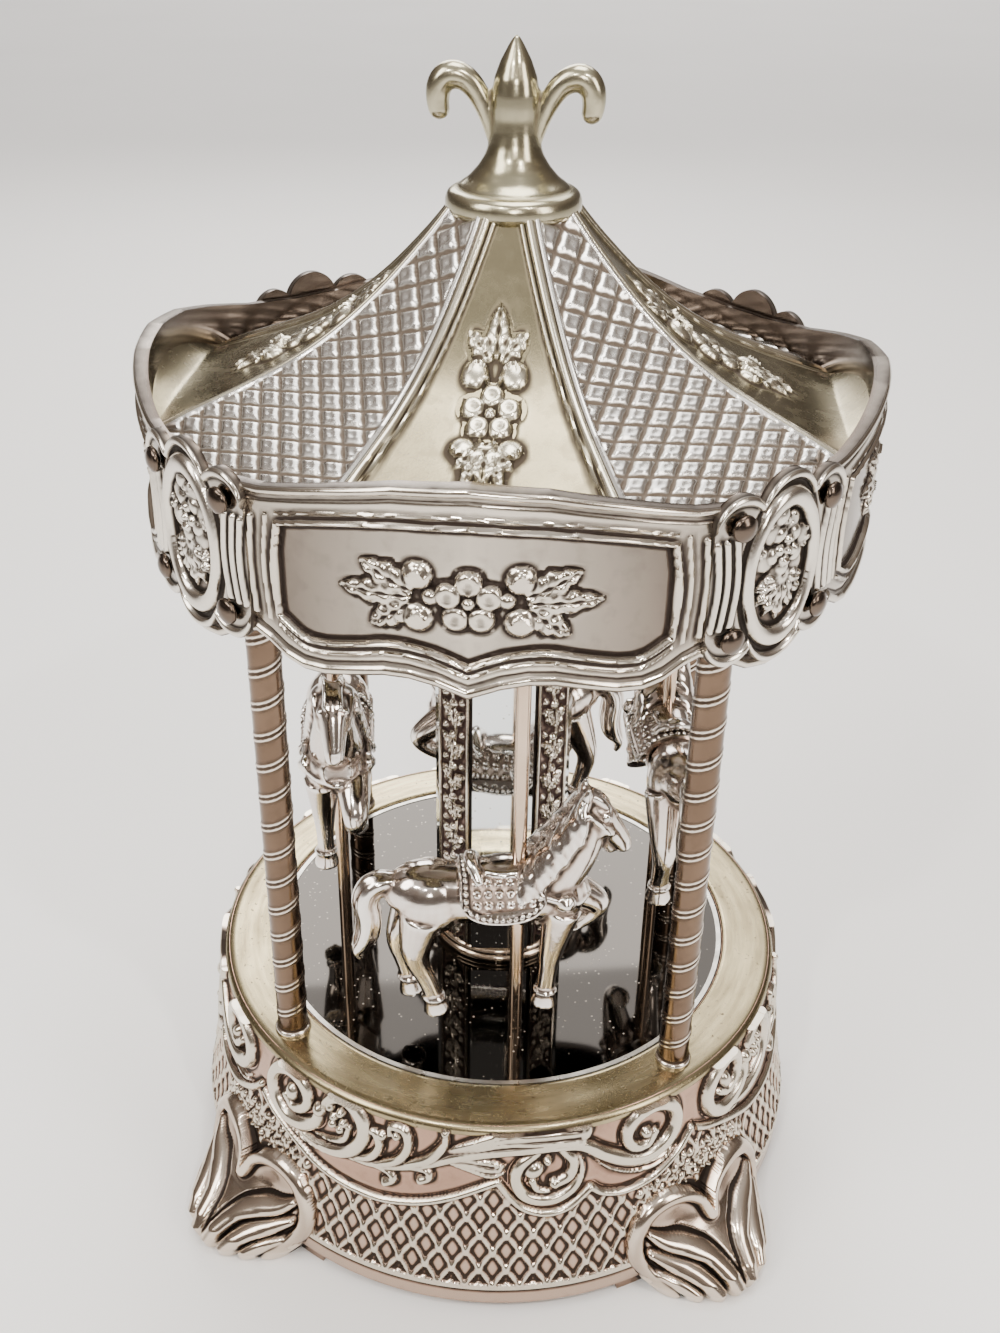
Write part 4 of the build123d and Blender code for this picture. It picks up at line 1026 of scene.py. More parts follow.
def carve_fascia(u, v):
    x = (u - 0.5) * 2 * math.pi * arc_r / 4
    low = along_edge(low_edge, x)
    high = along_edge(top_edge, x)
    z = low + v * (high - low)
    out = np.abs(x)
    work = Relief(x, z)
    crease = 1.3 * np.clip(1 - out / 44, 0, 1)
    inside = (out < 38.2) & (z < along_edge(frame_top, x)) & (z > along_edge(frame_low, x))
    work.h = np.where(inside, 0.0, 0.9)
    for side in (-1, 1):
        mirror = [(side * a, b) for a, b in frame_top]
        work.strand([(a, b, 0.75) for a, b in mirror], 1.7, 0, 0.3)
        work.strand([(a, b + 1.9, 0.5) for a, b in mirror], 1.35, 0, 0.3)
        mirror = [(side * a, b) for a, b in frame_low]
        work.strand([(a, b, 0.75) for a, b in mirror], 1.7, 0, 0.3)
        work.strand([(a, b - 2.0, 0.55) for a, b in mirror], 1.45, 0, 0.3)
        work.strand(
            [(side * 38.0, 209.2, 0.75), (side * 39.4, 199.5, 0.75), (side * 38.6, 189.6, 0.75)], 1.7,
            0, 0.3
        )
        work.strand(
            [(side * 40.6, 210.2, 0.6), (side * 41.8, 199.5, 0.6), (side * 41.0, 188.4, 0.6)], 1.45, 0,
            0.3
        )
        work.strand(
            [(side * 44.4, 209, 0.8), (side * 45.2, 199.5, 0.8), (side * 44.4, 189, 0.8)], 1.8, 0, 0.4
        )
    to_top = high - z
    to_low = z - low
    work.h = np.maximum(work.h, 1.5 * np.sqrt(np.clip(1 - ((to_top - 0.9) / 1.0) ** 2, 0, 1)))
    work.h -= 0.3 * np.exp(-(((to_top - 2.6) / 0.35) ** 2))
    work.h = np.maximum(work.h, 1.6 * np.sqrt(np.clip(1 - ((to_low - 1.1) / 1.2) ** 2, 0, 1)))
    work.h -= 0.3 * np.exp(-(((to_low - 2.9) / 0.3) ** 2))
    work.h += crease

    # spray of flowers and leaves
    spray = Relief(x, z)
    middle = 199.6
    for side, turn in ((-1, 180), (1, 0)):
        spray.leaf(side * 10.5, middle + 0.4, turn, 14.6, 5.2, 1.3)
        spray.leaf(side * 10.0, middle + 1.4, 90 + side * -64, 11.8, 5.6, 1.4)
        spray.leaf(side * 10.6, middle - 0.8, -90 + side * 54, 10.0, 5.6, 1.4)
        spray.bead(side * 9.4, middle + 5.0, 3.0, 1.7)
        spray.bead(side * 9.4, middle - 3.6, 3.0, 1.7)
        spray.bead(side * 6.9, middle + 0.9, 1.7, 1.6)
        spray.strand(
            [
                (side * 7.6, middle + 5.0, 0.4), (side * 9.4, middle + 6.4, 0.4),
                (side * 11.2, middle + 5.2, 0.4)
            ],
            2.0, 0, 0.2
        )
        spray.strand(
            [
                (side * 7.6, middle - 3.4, 0.4), (side * 9.2, middle - 2.2, 0.4),
                (side * 11.0, middle - 3.4, 0.4)
            ],
            2.0, 0, 0.2
        )
    spray.flower(0, middle + 0.2, 6.3, 1.9)
    work.h = work.h + spray.h
    return work.h


def place_fascia(azimuth):
    def place(u, v, h):
        x = (u - 0.5) * 2 * math.pi * arc_r / 4
        low = along_edge(low_edge, x)
        z = low + v * (along_edge(top_edge, x) - low)
        turn = math.radians(azimuth) + (u - 0.5) * math.pi / 2
        radius = fascia_r - 0.6 + h
        return np.stack((radius * np.sin(turn), -radius * np.cos(turn), z), axis=-1)

    return place


# The dark field colour is partly tarnish and partly a painted reflection of the dim room.
fascia_finish = silver_finish(
    "fascia_silver", (0.13, 0.10, 0.08), (0.70, 0.64, 0.55), (0.03, 0.02, 0.015), 0.15, 0.7
)
for side, azimuth in (("front", 0), ("right", 90), ("back", 180), ("left", 270)):
    panel = cast_face(f"fascia_{side}", 330, 122, place_fascia(azimuth), carve_fascia, 1.2, 3, 0.5)
    panel.data.materials.append(fascia_finish)
    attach(panel, "housing")
    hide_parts("fascia")

# ------------------------------------------------------------------ rosettes
# A rose plaque covers each corner of the fascia. It is a separate casting with
# three scallops top and bottom, an oval frame about a rose with its bud and
# leaves, and four domed studs that pin it on.

rosette_z = 199.0


def rosette_edge(x):
    """Half height of the plaque's scalloped outline."""
    middle = np.sqrt(np.clip(7.4**2 - x**2, 0, None)) + 12.9
    side = np.sqrt(np.clip(6.0**2 - (np.abs(x) - 12.0) ** 2, 0, None)) + 11.9
    return np.where(np.abs(x) < 7.4, np.maximum(middle, side), np.maximum(side, 11.9))


def carve_rosette(u, v):
    x = (u - 0.5) * 35.6
    half = rosette_edge(x)
    y = (v * 2 - 1) * half
    out = np.abs(x)
    work = Relief(x, y)
    work.h[:] = 0.9
    to_edge = half - np.abs(y)
    work.h = np.maximum(work.h, 2.0 * np.sqrt(np.clip(1 - ((to_edge - 1.1) / 1.3) ** 2, 0, 1)))
    ring = np.hypot(x / 9.0, y / 14.8)
    gap = (ring - 1) * 9.4
    work.h -= 0.6 * np.exp(-(((gap - 1.9) / 0.5) ** 2))
    work.h = np.maximum(work.h, 2.6 * np.sqrt(np.clip(1 - (gap / 1.5) ** 2, 0, 1)))
    work.h = np.where(gap < -1.4, -0.3, work.h)
    for side in (-1, 1):
        for offset, width in ((12.6, 0.8), (15.0, 0.9), (17.0, 0.8)):
            work.strand(
                [
                    (side * offset, 9.0, width), (side * (offset - 0.9), 0, width),
                    (side * offset, -9.0, width)
                ],
                2.0, 0, 0.4
            )
    rose = Relief(x, y)
    # rose: petals wrapped round the heart
    heart_y = 4.0
    for ring_index, (radius, size, count, lift) in enumerate(
        ((5.4, 2.7, 6, 1.5), (3.6, 2.1, 5, 2.2), (1.9, 1.5, 4, 2.9))
    ):
        for step in range(count):
            way = math.radians(step * 360 / count + ring_index * 33 + 15)
            px = math.cos(way) * radius * 0.86
            py = heart_y + math.sin(way) * radius
            area = rose.near(px - size, px + size, py - size, py + size)
            far = np.hypot(rose.x[area] - px, rose.y[area] - py) / size
            from_heart = np.hypot(rose.x[area], rose.y[area] - heart_y) / radius
            cup = lift * np.sqrt(np.clip(1 - far**2, 0, 1)) * (0.55 + 0.35 * from_heart)
            rose.h[area] = np.maximum(rose.h[area], cup)
        ring_gap = np.abs(np.hypot(rose.x / 0.86, rose.y - heart_y) - radius * 0.62 - 0.5)
        rose.h -= 0.55 * np.exp(-((ring_gap / 0.22) ** 2)) * (rose.h > 0.3)
    rose.bead(0, heart_y, 1.1, 3.0)
    rose.bead(-1.6, 11.2, 1.9, 2.0, 1.2, 60)
    rose.leaf(-0.8, 8.0, 50, 5.2, 2.8, 1.5, 3)
    rose.leaf(1.0, 8.2, 125, 5.4, 2.8, 1.5, 3)
    for turn, length in (
        (200, 7.2), (340, 7.2), (222, 8.6), (318, 8.6), (247, 9.4), (293, 9.4), (270, 10.4)
    ):
        rose.leaf(0, -1.2, turn, length, 3.8, 1.9, 3)
    rose.leaf(-5.2, 2.0, 110, 6.0, 3.0, 1.4, 3)
    rose.leaf(5.4, 2.6, 72, 5.6, 3.0, 1.4, 3)
    work.h = np.where(gap < -1.2, np.maximum(work.h, rose.h), work.h)
    return work.h


def place_rosette(azimuth):
    def place(u, v, h):
        x = (u - 0.5) * 35.6
        z = rosette_z + (v * 2 - 1) * rosette_edge(x)
        turn = math.radians(azimuth) + x / 80.6
        radius = 80.9 + h * 0.8
        return np.stack((radius * np.sin(turn), -radius * np.cos(turn), z), axis=-1)

    return place


rosette_finish = silver_finish(
    "rosette_silver", (0.13, 0.10, 0.08), (0.76, 0.71, 0.63), (0.02, 0.014, 0.01), 0.16, 0.4
)
for corner, azimuth in corner_azimuths.items():
    rosette = cast_face(
        f"rose_plaque_{corner}", 130, 150, place_rosette(azimuth), carve_rosette, 1.0, 4, 0.7
    )
    rosette.data.materials.append(rosette_finish)
    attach(rosette, "housing")
    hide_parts(f"rosette_{corner}")

for stud_corner, azimuth in corner_azimuths.items():
    for side in (-1, 1):
        for end, stud_z in (("low", 187.2), ("high", 210.8)):
            bpy.ops.object.select_all(action="DESELECT")
            bpy.ops.mesh.primitive_uv_sphere_add(segments=28, ring_count=16, radius=2.7 * mm)
            stud = bpy.context.object
            stud.name = f"stud_{stud_corner}_{end}_{'left' if side < 0 else 'right'}"
            spots = np.empty(len(stud.data.vertices) * 3)
            stud.data.vertices.foreach_get("co", spots)
            spots = spots.reshape(-1, 3) / mm
            depth = np.where(spots[:, 1] < 0, -spots[:, 1] * 0.62, -spots[:, 1] * 0.3)
            collar = np.clip(1 - np.abs(np.hypot(spots[:, 0], spots[:, 2]) - 2.5) / 0.3, 0, 1) * 0.25
            turn = math.radians(azimuth) + (side * 12.4 + spots[:, 0]) / 82
            radius = 82.6 + depth + collar
            moved = np.stack(
                (radius * np.sin(turn), -radius * np.cos(turn), stud_z + spots[:, 2]), axis=-1
            ) * mm
            stud.data.vertices.foreach_set("co", moved.ravel())
            stud.data.update()
            bpy.ops.object.shade_smooth()
            stud.data.materials.append(rosette_finish)
            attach(stud, "housing")
            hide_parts("rosette_studs")

# ---------------------------------------------------------------------- roof
# The roof is one bell-shaped casting of eight panels. The four over the posts
# are covered with cushioned diamonds; the four between are smooth, dished and
# edged with twin beads, and each carries a spray of leaves and flowers. At the
# eave the smooth panels sweep up into the fascia.

roof_line = smooth_line(
    [
        (13, 252.2, 1), (20, 244.1, 1), (30, 234.2, 1), (40, 226.3, 1), (50, 220.4, 1), (60, 216, 1),
        (70, 212, 1), (79, 208.0, 1)
    ],
    12
)
half_panel = math.radians(22.5)
roof_top_apothem = 12.0
roof_eave_radius = 78.6


def roof_grid(u, v):
    side = 2 * u - 1
    eave = roof_eave_radius * np.cos(side * half_panel)
    apothem = roof_top_apothem + (eave - roof_top_apothem) * (1 - v)
    return side, apothem, apothem * math.tan(half_panel)


def carve_smooth_panel(u, v):
    side, apothem, half = roof_grid(u, v)
    x = side * half
    edge = (1 - np.abs(side)) * half
    work = Relief(x, -apothem)
    work.leaf(0, -33.5, 90, 8.8, 5.0, 1.2, 3)
    work.leaf(-1.0, -34.2, 134, 7.4, 4.2, 1.1, 3)
    work.leaf(1.0, -34.2, 46, 7.4, 4.2, 1.1, 3)
    for side_sign in (-1, 1):
        work.bead(side_sign * 3.9, -36.6, 2.8, 1.5)
        work.strand(
            [
                (side_sign * 1.0, -38.6, 0.4), (side_sign * 2.0, -35.6, 0.4),
                (side_sign * 3.8, -34.8, 0.4), (side_sign * 5.2, -36.2, 0.4)
            ],
            1.9, 0, 0.2
        )
    work.flower(0, -44.6, 5.9, 1.8, 5, 90)
    for side_sign in (-1, 1):
        work.bead(side_sign * 4.5, -52.6, 2.6, 1.5)
        work.strand(
            [
                (side_sign * 1.2, -50.8, 0.4), (side_sign * 2.8, -53.8, 0.4),
                (side_sign * 5.2, -54.4, 0.4), (side_sign * 6.8, -52.4, 0.4)
            ],
            1.8, 0, 0.2
        )
    for turn, length in ((-90, 12.0), (-112, 11.0), (-68, 11.0), (-134, 8.0), (-46, 8.0)):
        work.leaf(0, -51.6, turn, length, 4.0, 1.3, 4)
    twin = 0.95 * np.sqrt(np.clip(1 - ((edge - 1.0) / 1.05) ** 2, 0, 1))
    twin = np.maximum(twin, 0.6 * np.sqrt(np.clip(1 - ((edge - 2.75) / 0.55) ** 2, 0, 1)))
    return np.where(edge < 3.6, twin, work.h)


def carve_diamond_panel(lean):
    def carve(u, v):
        side, apothem, half = roof_grid(u, v)
        x = side * half * lean
        edge = (1 - np.abs(side)) * half
        first = (apothem - 0.36 * x) / 4.7
        second = (apothem + 0.66 * x) / 5.0
        gap = np.minimum(
            0.5 - np.abs(first - np.floor(first) - 0.5), 0.5 - np.abs(second - np.floor(second) - 0.5)
        )
        pad = 0.85 * np.clip((gap - 0.03) / 0.2, 0, 1) - 0.22 * np.clip((gap - 0.26) / 0.2, 0, 1)
        bead = 0.9 * np.sqrt(np.clip(1 - ((edge - 0.7) / 0.8) ** 2, 0, 1))
        return np.where(edge < 1.5, bead, pad)

    return carve


def place_roof(azimuth, sweep):
    turn = math.radians(azimuth)

    def place(u, v, h):
        side, apothem, half = roof_grid(u, v)
        x = side * half
        ridge_radius = apothem / math.cos(half_panel)
        z = np.interp(ridge_radius, roof_line[:, 0], roof_line[:, 1])
        slope = (
            np.interp(
                ridge_radius + 0.5, roof_line[:, 0], roof_line[:, 1]
            ) - np.interp(ridge_radius - 0.5, roof_line[:, 0], roof_line[:, 1])
        )
        lift = 1 / np.sqrt(1 + slope**2)
        radius = np.hypot(apothem, x)
        if sweep:
            z = z + 7.5 * (1 - side**2) ** 1.5 * np.clip((radius - 62) / 16.6, 0, 1) ** 2.4
        z = z + 0.25 + h * lift
        out = apothem - h * slope * lift * 0.9
        return np.stack(
            (out * math.sin(turn) + x * math.cos(turn), -out * math.cos(turn) + x * math.sin(turn), z),
            axis=-1
        )

    return place


# The olive field of the plain panels is partly tarnish and partly a painted reflection of the room above.
smooth_finish = silver_finish(
    "roof_plain_silver", (0.34, 0.295, 0.185), (0.70, 0.65, 0.52), (0.06, 0.045, 0.03), 0.24, 0.75
)
diamond_finish = silver_finish(
    "roof_diamond_silver", (0.50, 0.46, 0.40), (0.88, 0.86, 0.82), (0.14, 0.11, 0.085), 0.26, 0.3
)
for step in range(8):
    azimuth = step * 45
    if step % 2 == 0:
        panel = cast_face(
            f"roof_smooth_{azimuth:03d}", 90, 140, place_roof(azimuth, True), carve_smooth_panel, 1.4,
            3, 0.45, 20
        )
        panel.data.materials.append(smooth_finish)
    else:
        lean = 1 if azimuth in (45, 225) else -1
        panel = cast_face(
            f"roof_diamond_{azimuth:03d}", 96, 150, place_roof(azimuth, False),
            carve_diamond_panel(lean), 1.4, 3, 0.5, 20
        )
        panel.data.materials.append(diamond_finish)
    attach(panel, "housing")
dress(["canopy_roof"], smooth_finish)

# -------------------------------------------------------------------- finial
# The fleur-de-lis on top is cast in one with its bell and round collar, then
# screwed through the roof's crown. Its greenish gold colour is partly tarnish and partly a painted
# reflection of the warm room.


def rod(name, line, sides=6):
    """A cast rod of round section along a smooth line of (x, y, z, radius) points, in millimetres."""
    bpy.ops.object.select_all(action="DESELECT")
    bpy.ops.curve.primitive_nurbs_path_add()
    path = bpy.context.object
    path.name = name
    path.data.splines.clear()
    spline = path.data.splines.new("NURBS")
    spline.points.add(len(line) - 1)
    for point, (x, y, z, radius) in zip(spline.points, line):
        point.co = (x * mm, y * mm, z * mm, 1)
        point.radius = radius
    spline.order_u = 3
    spline.use_endpoint_u = True
    path.data.resolution_u = 5
    path.data.bevel_depth = mm
    path.data.bevel_resolution = sides
    path.data.use_fill_caps = True
    bpy.ops.object.convert(target="MESH")
    return bpy.context.object


def lump(x, y, z, size, segments=24):
    """A rounded mass with its own three half widths, in millimetres."""
    bpy.ops.object.select_all(action="DESELECT")
    bpy.ops.mesh.primitive_uv_sphere_add(
        segments=segments, ring_count=segments // 2, radius=mm, location=(x * mm, y * mm, z * mm)
    )
    piece = bpy.context.object
    piece.scale = size
    bpy.ops.object.transform_apply(location=True, rotation=True, scale=True)
    return piece


def join(pieces, name):
    bpy.ops.object.select_all(action="DESELECT")
    for piece in pieces:
        piece.select_set(True)
    bpy.context.view_layer.objects.active = pieces[0]
    bpy.ops.object.join()
    whole = bpy.context.object
    whole.name = name
    return whole


def cast_together(piece, voxel, smoothing):
    """Melts joined rods and lumps into one skin, as they leave the mould."""
    bpy.ops.object.select_all(action="DESELECT")
    piece.select_set(True)
    bpy.context.view_layer.objects.active = piece
    melt = piece.modifiers.new("melt", "REMESH")
    melt.mode = "VOXEL"
    melt.voxel_size = voxel * mm
    bpy.ops.object.modifier_apply(modifier=melt.name)
    ease = piece.modifiers.new("ease", "SMOOTH")
    ease.factor = 0.6
    ease.iterations = smoothing
    bpy.ops.object.modifier_apply(modifier=ease.name)
    bpy.ops.object.shade_smooth()
    return piece


def mark_hollows(piece, scale, rounds=4):
    """Writes how far each point lies above or below the skin round it."""
    data = piece.data
    count = len(data.vertices)
    spots = np.empty(count * 3)
    data.vertices.foreach_get("co", spots)
    spots = spots.reshape(-1, 3)
    facing = np.empty(count * 3)
    data.vertices.foreach_get("normal", facing)
    facing = facing.reshape(-1, 3)
    pairs = np.empty(len(data.edges) * 2, dtype=np.int32)
    data.edges.foreach_get("vertices", pairs)
    pairs = pairs.reshape(-1, 2)
    links = np.bincount(pairs.ravel(), minlength=count).clip(1)
    eased = spots.copy()
    for _ in range(rounds):
        sums = np.zeros_like(eased)
        for axis in range(3):
            sums[:, axis] = np.bincount(pairs[:, 0], eased[pairs[:, 1], axis], count)
            sums[:, axis] += np.bincount(pairs[:, 1], eased[pairs[:, 0], axis], count)
        eased = 0.3 * eased + 0.7 * sums / links[:, None]
    lie = np.einsum("ij,ij->i", spots - eased, facing) / mm / scale
    write_mark(piece, "lie", np.clip(lie, -1, 1))
    write_mark(piece, "rise", np.clip(lie * 0.5 + 0.25, 0, 1))


bud_outline = [
    (0, 249.4), (13.0, 249.4), (13.9, 250.0), (14.4, 251.2), (14.4, 252.9), (13.9, 254.2), (12.9, 254.9),
    (11.9, 255.1), (11.3, 255.8), (9.6, 257.0), (7.6, 259.2), (6.2, 261.4), (5.4, 263.6), (4.9, 266.0),
    (4.7, 268.4), (4.9, 271.0), (4.9, 273.4), (4.4, 276.4), (3.2, 279.6), (1.7, 282.4), (0.6, 284.2),
    (0, 284.6),
]
bud = turned("finial_bud", bud_outline, 96)
arms = []
for side in (-1, 1):
    arms.append(
        rod(
            "finial_arm",
            [
                (side * 1.4, 0, 258.0, 2.2), (side * 3.6, 0, 264.5, 2.0), (side * 6.0, 0, 270.4, 2.0),
                (side * 9.2, 0, 275.8, 2.5), (side * 13.8, 0, 277.2, 2.9), (side * 16.4, 0, 273.4, 2.6),
                (side * 15.6, 0, 269.8, 2.2),
            ],
        )
    )
    arms.append(lump(side * 15.6, 0, 270.0, (2.2, 2.2, 2.1)))
finial = cast_together(join([bud] + arms, "fleur_finial"), 0.42, 4)
mark_hollows(finial, 0.35, 8)
finial.data.materials.append(
    silver_finish(
        "finial_silver", (0.40, 0.365, 0.235), (0.52, 0.48, 0.35), (0.10, 0.075, 0.045), 0.2, 0.55
    )
)
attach(finial, "housing")
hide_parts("finial")

# -------------------------------------------------------------------- horses
# Four bridled horses, cast from one pattern and plated bright. Each has a deep
# body, a thick curled mane, a saddle on a beaded blanket, a chest strap with a
# medallion, an arched ribbed tail and banded hooves.

pole_ring = 42.4
horse_turn = 10.7
spine = [
    (-31.5, 34.6, 2.5), (-28.5, 35.4, 6.2), (-22.5, 35.2, 8.1), (-13.0, 34.0, 7.3), (-3.0, 33.6, 7.1)
]
spine += [(6.0, 34.2, 7.7), (12.0, 35.4, 6.9), (15.8, 36.4, 3.6)]
horse_parts = [rod("spine", [(x, 0, z, r) for x, z, r in spine], 10)]
horse_parts.append(
    rod("neck", [(6.5, 0, 36, 7.2), (11.5, 0, 43, 6.4), (15.0, 0, 50, 5.1), (16.6, 0, 56.5, 4.2)], 10)
)
horse_parts.append(
    rod(
        "head",
        [(14.4, 0, 57.8, 3.4), (17.8, 0, 56.0, 4.2), (21.2, 0, 51.6, 3.1), (24.2, 0, 47.0, 2.4)], 10
    )
)
horse_parts.append(lump(24.3, 0, 46.6, (2.1, 2.3, 2.0)))
horse_parts.append(rod("jaw", [(19.0, 0, 51.0, 2.4), (20.8, 0, 47.6, 1.7), (21.8, 0, 44.8, 1.4)]))
for side in (-1, 1):
    horse_parts.append(lump(18.2, side * 2.3, 53.4, (3.0, 2.0, 3.2)))
    horse_parts.append(lump(19.6, side * 3.1, 56.6, (1.3, 0.9, 1.0)))
    horse_parts.append(
        rod(
            "ear",
            [(14.4, side * 1.8, 59.5, 1.3), (14.6, side * 2.4, 62.0, 1.2), (15.6, side * 2.2, 64.4, 0.4)]
        )
    )
    horse_parts.append(
        rod(
            "rein",
            [
                (20.8, side * 3.4, 51.6, 0.55), (18.6, side * 4.4, 55.0, 0.55),
                (15.2, side * 4.6, 58.4, 0.55)
            ]
        )
    )
    horse_parts.append(lump(-21.0, side * 3.6, 33.5, (7.6, 5.0, 8.0)))
    horse_parts.append(lump(9.6, side * 3.4, 34.0, (5.6, 4.4, 6.8)))
legs = [
    [
        (-23.5, 3.8, 32, 5.8), (-27.0, 4.4, 23, 4.3), (-29.2, 4.6, 16.6, 2.9), (-27.4, 4.6, 10, 2.2),
        (-26.3, 4.5, 5, 2.3)
    ],
    [
        (-23.0, -3.8, 31, 5.6), (-25.0, -4.4, 23, 4.2), (-24.6, -4.5, 17, 2.9), (-22, -4.5, 11, 2.2),
        (-20.6, -4.4, 6, 2.3)
    ],
    [
        (10.0, -3.6, 31, 5.0), (8.6, -4.0, 23, 3.5), (7.6, -4.0, 17, 2.8), (7.2, -4.0, 10.5, 2.1),
        (6.8, -4.0, 6, 2.3)
    ],
    [
        (11.0, 3.6, 32, 5.0), (17.0, 4.2, 28.8, 3.9), (20.8, 4.2, 25.2, 3.0), (17.4, 4.2, 21, 2.3),
        (13.8, 4.2, 19.4, 2.3)
    ],
]
hooves = [
    [(-26.1, 4.5, 4.2, 2.4), (-25.4, 4.4, 0.3, 3.5)],
    [(-20.5, -4.4, 5.2, 2.4), (-19.8, -4.4, 1.6, 3.4)],
    [(6.8, -4.0, 5.0, 2.4), (6.5, -4.0, 1.5, 3.4)],
    [(13.6, 4.2, 19.2, 2.4), (10.4, 4.2, 16.8, 3.3)],
]
for leg, hoof in zip(legs, hooves):
    horse_parts.append(rod("leg", leg, 8))
    horse_parts.append(rod("hoof", [hoof[0], tuple((a + b) / 2 for a, b in zip(*hoof)), hoof[1]], 8))
    band_x, band_y, band_z, band_r = leg[-1]
    horse_parts.append(lump(band_x, band_y, band_z, (band_r + 0.8, band_r + 0.8, 0.9)))
for step in range(12):
    share = step / 11
    crest_x = 15.8 - 13.6 * share**1.1
    crest_z = 60.6 - 18.6 * share
    full = 4.2 + 2.2 * share
    for side in (-1, 1):
        lean = 0.8 * math.sin(step * 2.4 + side)
        lock = [
            (crest_x, side * 0.5, crest_z + 0.6, 1.5),
            (crest_x - 1.8 + lean, side * (full * 0.75), crest_z - 1.2, 1.6),
            (crest_x - 2.6 - lean, side * (full + 0.9), crest_z - 4.6, 1.45),
            (crest_x - 1.4 + lean, side * (full + 1.1), crest_z - 7.6, 1.2),
            (crest_x - 2.8, side * (full + 0.7), crest_z - 9.4, 0.6),
        ]
        horse_parts.append(rod("lock", lock, 4))
for side in (-1, 0, 1):
    horse_parts.append(
        rod(
            "forelock",
            [(15.4, side, 61.6, 1.2), (18.2, side * 1.5, 60.6, 1.2), (20.6, side * 1.7, 57.6, 0.7)], 4
        )
    )
for step, (tail_y, tail_out) in enumerate(((0, 1.3), (1.5, 0.2), (-1.5, 0.2), (0.8, -1.6), (-0.8, -1.6))):
    tail = [
        (-28.5, tail_y * 0.5, 38.5, 1.6),
        (-33.0 - tail_out, tail_y, 39.6 + tail_out, 1.8),
        (-37.0 - tail_out, tail_y * 1.3, 34.5, 1.9),
        (-35.6 - tail_out, tail_y * 1.4, 27.6, 1.9),
        (-36.8 - tail_out, tail_y * 1.3, 21.5, 1.7),
        (-39.4, tail_y, 17.5 + step * 0.4, 1.2),
        (-37.6, tail_y * 0.8, 15.2 + step * 0.4, 0.7),
    ]
    horse_parts.append(rod("tail", tail, 5))
for side in (-1, 1):
    horse_parts.append(
        rod(
            "strap",
            [
                (3.5, side * 7.6, 38.5, 0.9), (9.5, side * 8.4, 36.0, 0.9),
                (14.6, side * 5.8, 33.8, 0.9), (16.8, 0, 33.0, 0.9)
            ],
            5
        )
    )
    horse_parts.append(
        rod(
            "girth",
            [
                (0.5, side * 7.6, 36.5, 0.8), (0.5, side * 7.4, 30.0, 0.8),
                (0.5, side * 3.0, 26.4, 0.8), (0.5, 0, 26.2, 0.8)
            ],
            5
        )
    )
    horse_parts.append(lump(10.4, side * 8.0, 35.6, (2.4, 1.2, 2.4)))
    horse_parts.append(lump(10.4, side * 9.1, 35.6, (1.1, 0.7, 1.1)))
horse_parts.append(lump(-3.4, 0, 41.4, (7.2, 4.6, 1.9)))
horse_parts.append(
    rod(
        "pommel",
        [(3.2, -4.6, 40.2, 1.2), (4.6, -1.8, 43.6, 1.6), (4.6, 1.8, 43.6, 1.6), (3.2, 4.6, 40.2, 1.2)]
    )
)
horse_parts.append(
    rod(
        "cantle",
        [
            (-9.6, -5.2, 40.0, 1.2), (-11.6, -2.2, 44.2, 1.7), (-11.6, 2.2, 44.2, 1.7),
            (-9.6, 5.2, 40.0, 1.2)
        ]
    )
)
horse_body = cast_together(join(horse_parts, "horse_pattern"), 0.5, 2)
mark_hollows(horse_body, 0.3, 7)


def blanket_edge(x):
    """How far down each side the blanket hangs, as an angle from the back's middle."""
    return 58 + 52 * np.sqrt(np.clip(1 - ((x + 4.4) / 10.4) ** 2, 0, 1))


def carve_blanket(u, v):
    x = -14.6 + 20.4 * v
    away = np.abs(2 * u - 1)
    down = away * blanket_edge(x)
    room = np.minimum((1 - away) * blanket_edge(x) * 0.14, np.minimum(x + 14.6, 5.8 - x))
    work = 0.5 * np.sqrt(np.clip(1 - ((room - 0.35) / 0.4) ** 2, 0, 1))
    along = np.where(room == (1 - away) * blanket_edge(x) * 0.14, x, down * 0.14)
    beads = np.hypot((along / 1.5 - np.rint(along / 1.5)) * 1.5, room - 1.5)
    work = np.maximum(work, 0.85 * np.sqrt(np.clip(1 - (beads / 0.68) ** 2, 0, 1)))
    rings = np.hypot((x / 2.6 - np.rint(x / 2.6)) * 2.6, (down / 18 - np.rint(down / 18)) * 2.5)
    return np.maximum(work, 0.4 * np.exp(-(((rings - 0.62) / 0.22) ** 2)) * (room > 2.6) * (down > 30))


def place_blanket(u, v, h):
    x = -14.6 + 20.4 * v
    turn = np.radians((2 * u - 1) * blanket_edge(x))
    spine_line = np.array(spine)
    middle = np.interp(x, spine_line[:, 0], spine_line[:, 1])
    radius = np.interp(x, spine_line[:, 0], spine_line[:, 2]) + 0.75 + h
    radius = radius + 0.9 * np.sin(np.abs(turn)) ** 2
    return np.stack((x, radius * np.sin(turn), middle + radius * np.cos(turn)), axis=-1)


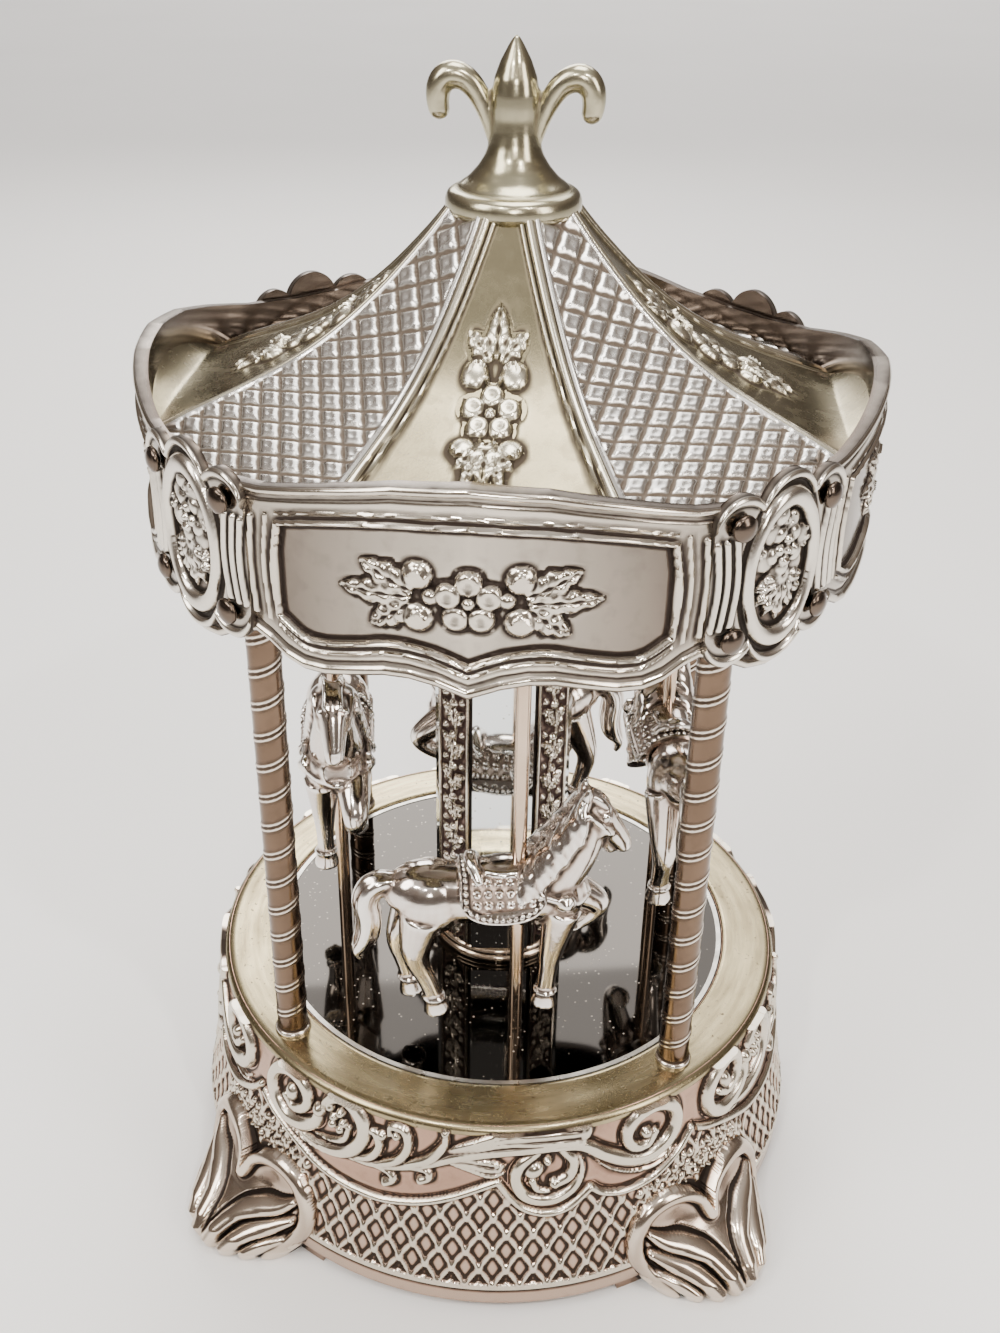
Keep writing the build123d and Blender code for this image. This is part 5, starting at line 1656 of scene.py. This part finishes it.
blanket = cast_face("blanket", 104, 72, place_blanket, carve_blanket, 0.9, 3, 0.3, 8)
horse_pattern = join([horse_body, blanket], "horse_pattern")
horse_pattern.data.materials.append(
    silver_finish(
        "horse_silver", (0.60, 0.47, 0.39), (0.92, 0.88, 0.83), (0.045, 0.032, 0.024), 0.12, 0.6
    )
)
for side, turn, hoof_z in (("front", 0, 68), ("right", 90, 83), ("back", 180, 68), ("left", 270, 83)):
    way = math.radians(turn + horse_turn)
    bpy.ops.object.select_all(action="DESELECT")
    horse_pattern.select_set(True)
    bpy.context.view_layer.objects.active = horse_pattern
    bpy.ops.object.duplicate()
    horse = bpy.context.object
    horse.name = f"cast_horse_{side}"
    horse.location = (pole_ring * math.sin(way) * mm, -pole_ring * math.cos(way) * mm, hoof_z * mm)
    horse.rotation_euler = (0, 0, way)
    bpy.ops.object.transform_apply(location=True, rotation=True, scale=True)
    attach(horse, "carousel")
    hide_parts(f"horse_{side}")
bpy.data.objects.remove(horse_pattern, do_unlink=True)

# ------------------------------------------------------------------ movement
# Inside the base sits a small wind-up movement: brass barrel, cylinder and
# wheels, a cast zinc frame, ground steel shafts, comb and screws, a plated key
# and a painted cover under everything.

brass = metal_finish("machined_brass", (0.80, 0.62, 0.30), (0.58, 0.42, 0.18), 0.22)
dress(
    ["spring_barrel", "note_cylinder", "great_wheel", "cylinder_pinion", "governor_fly", "worm_wheel"],
    brass
)
zinc = metal_finish("cast_zinc", (0.46, 0.45, 0.43), (0.32, 0.31, 0.29), 0.42)
dress(["bedplate", "barrel_bridge", "cylinder_brackets", "governor_frame", "comb_block"], zinc)
steel = metal_finish("ground_steel", (0.58, 0.58, 0.60), (0.40, 0.40, 0.42), 0.24)
dress(["mainspring", "winding_arbor", "layshaft", "governor_worm", "comb"], steel)
dress(["winding_key"], metal_finish("plated_key", (0.74, 0.70, 0.60), (0.55, 0.50, 0.40), 0.18))
fastener = metal_finish("zinc_plated_steel", (0.60, 0.60, 0.58), (0.42, 0.42, 0.40), 0.28, 0.002)
for node_name in nodes:
    if "screw" in node_name or node_name == "finial_nut":
        dress([node_name], fastener)

cover_finish = Finish("painted_cover")
cover_place = cover_finish.place()
paint_cloud = cover_finish.cloud(0.006, 3.0, cover_place)
paint_grain = cover_finish.cloud(0.0006, 2.0, cover_place)
cover_paint = cover_finish.surface(
    Base_Color=cover_finish.blend(paint_cloud, (0.035, 0.034, 0.035), (0.06, 0.058, 0.056)),
    Roughness=(paint_cloud * 0.2 + 0.42).held(),
    Normal=cover_finish.node("ShaderNodeBump", {}, Strength=0.2, Distance=0.0001, Height=paint_grain),
)
dress(["bottom_cover"], cover_paint)
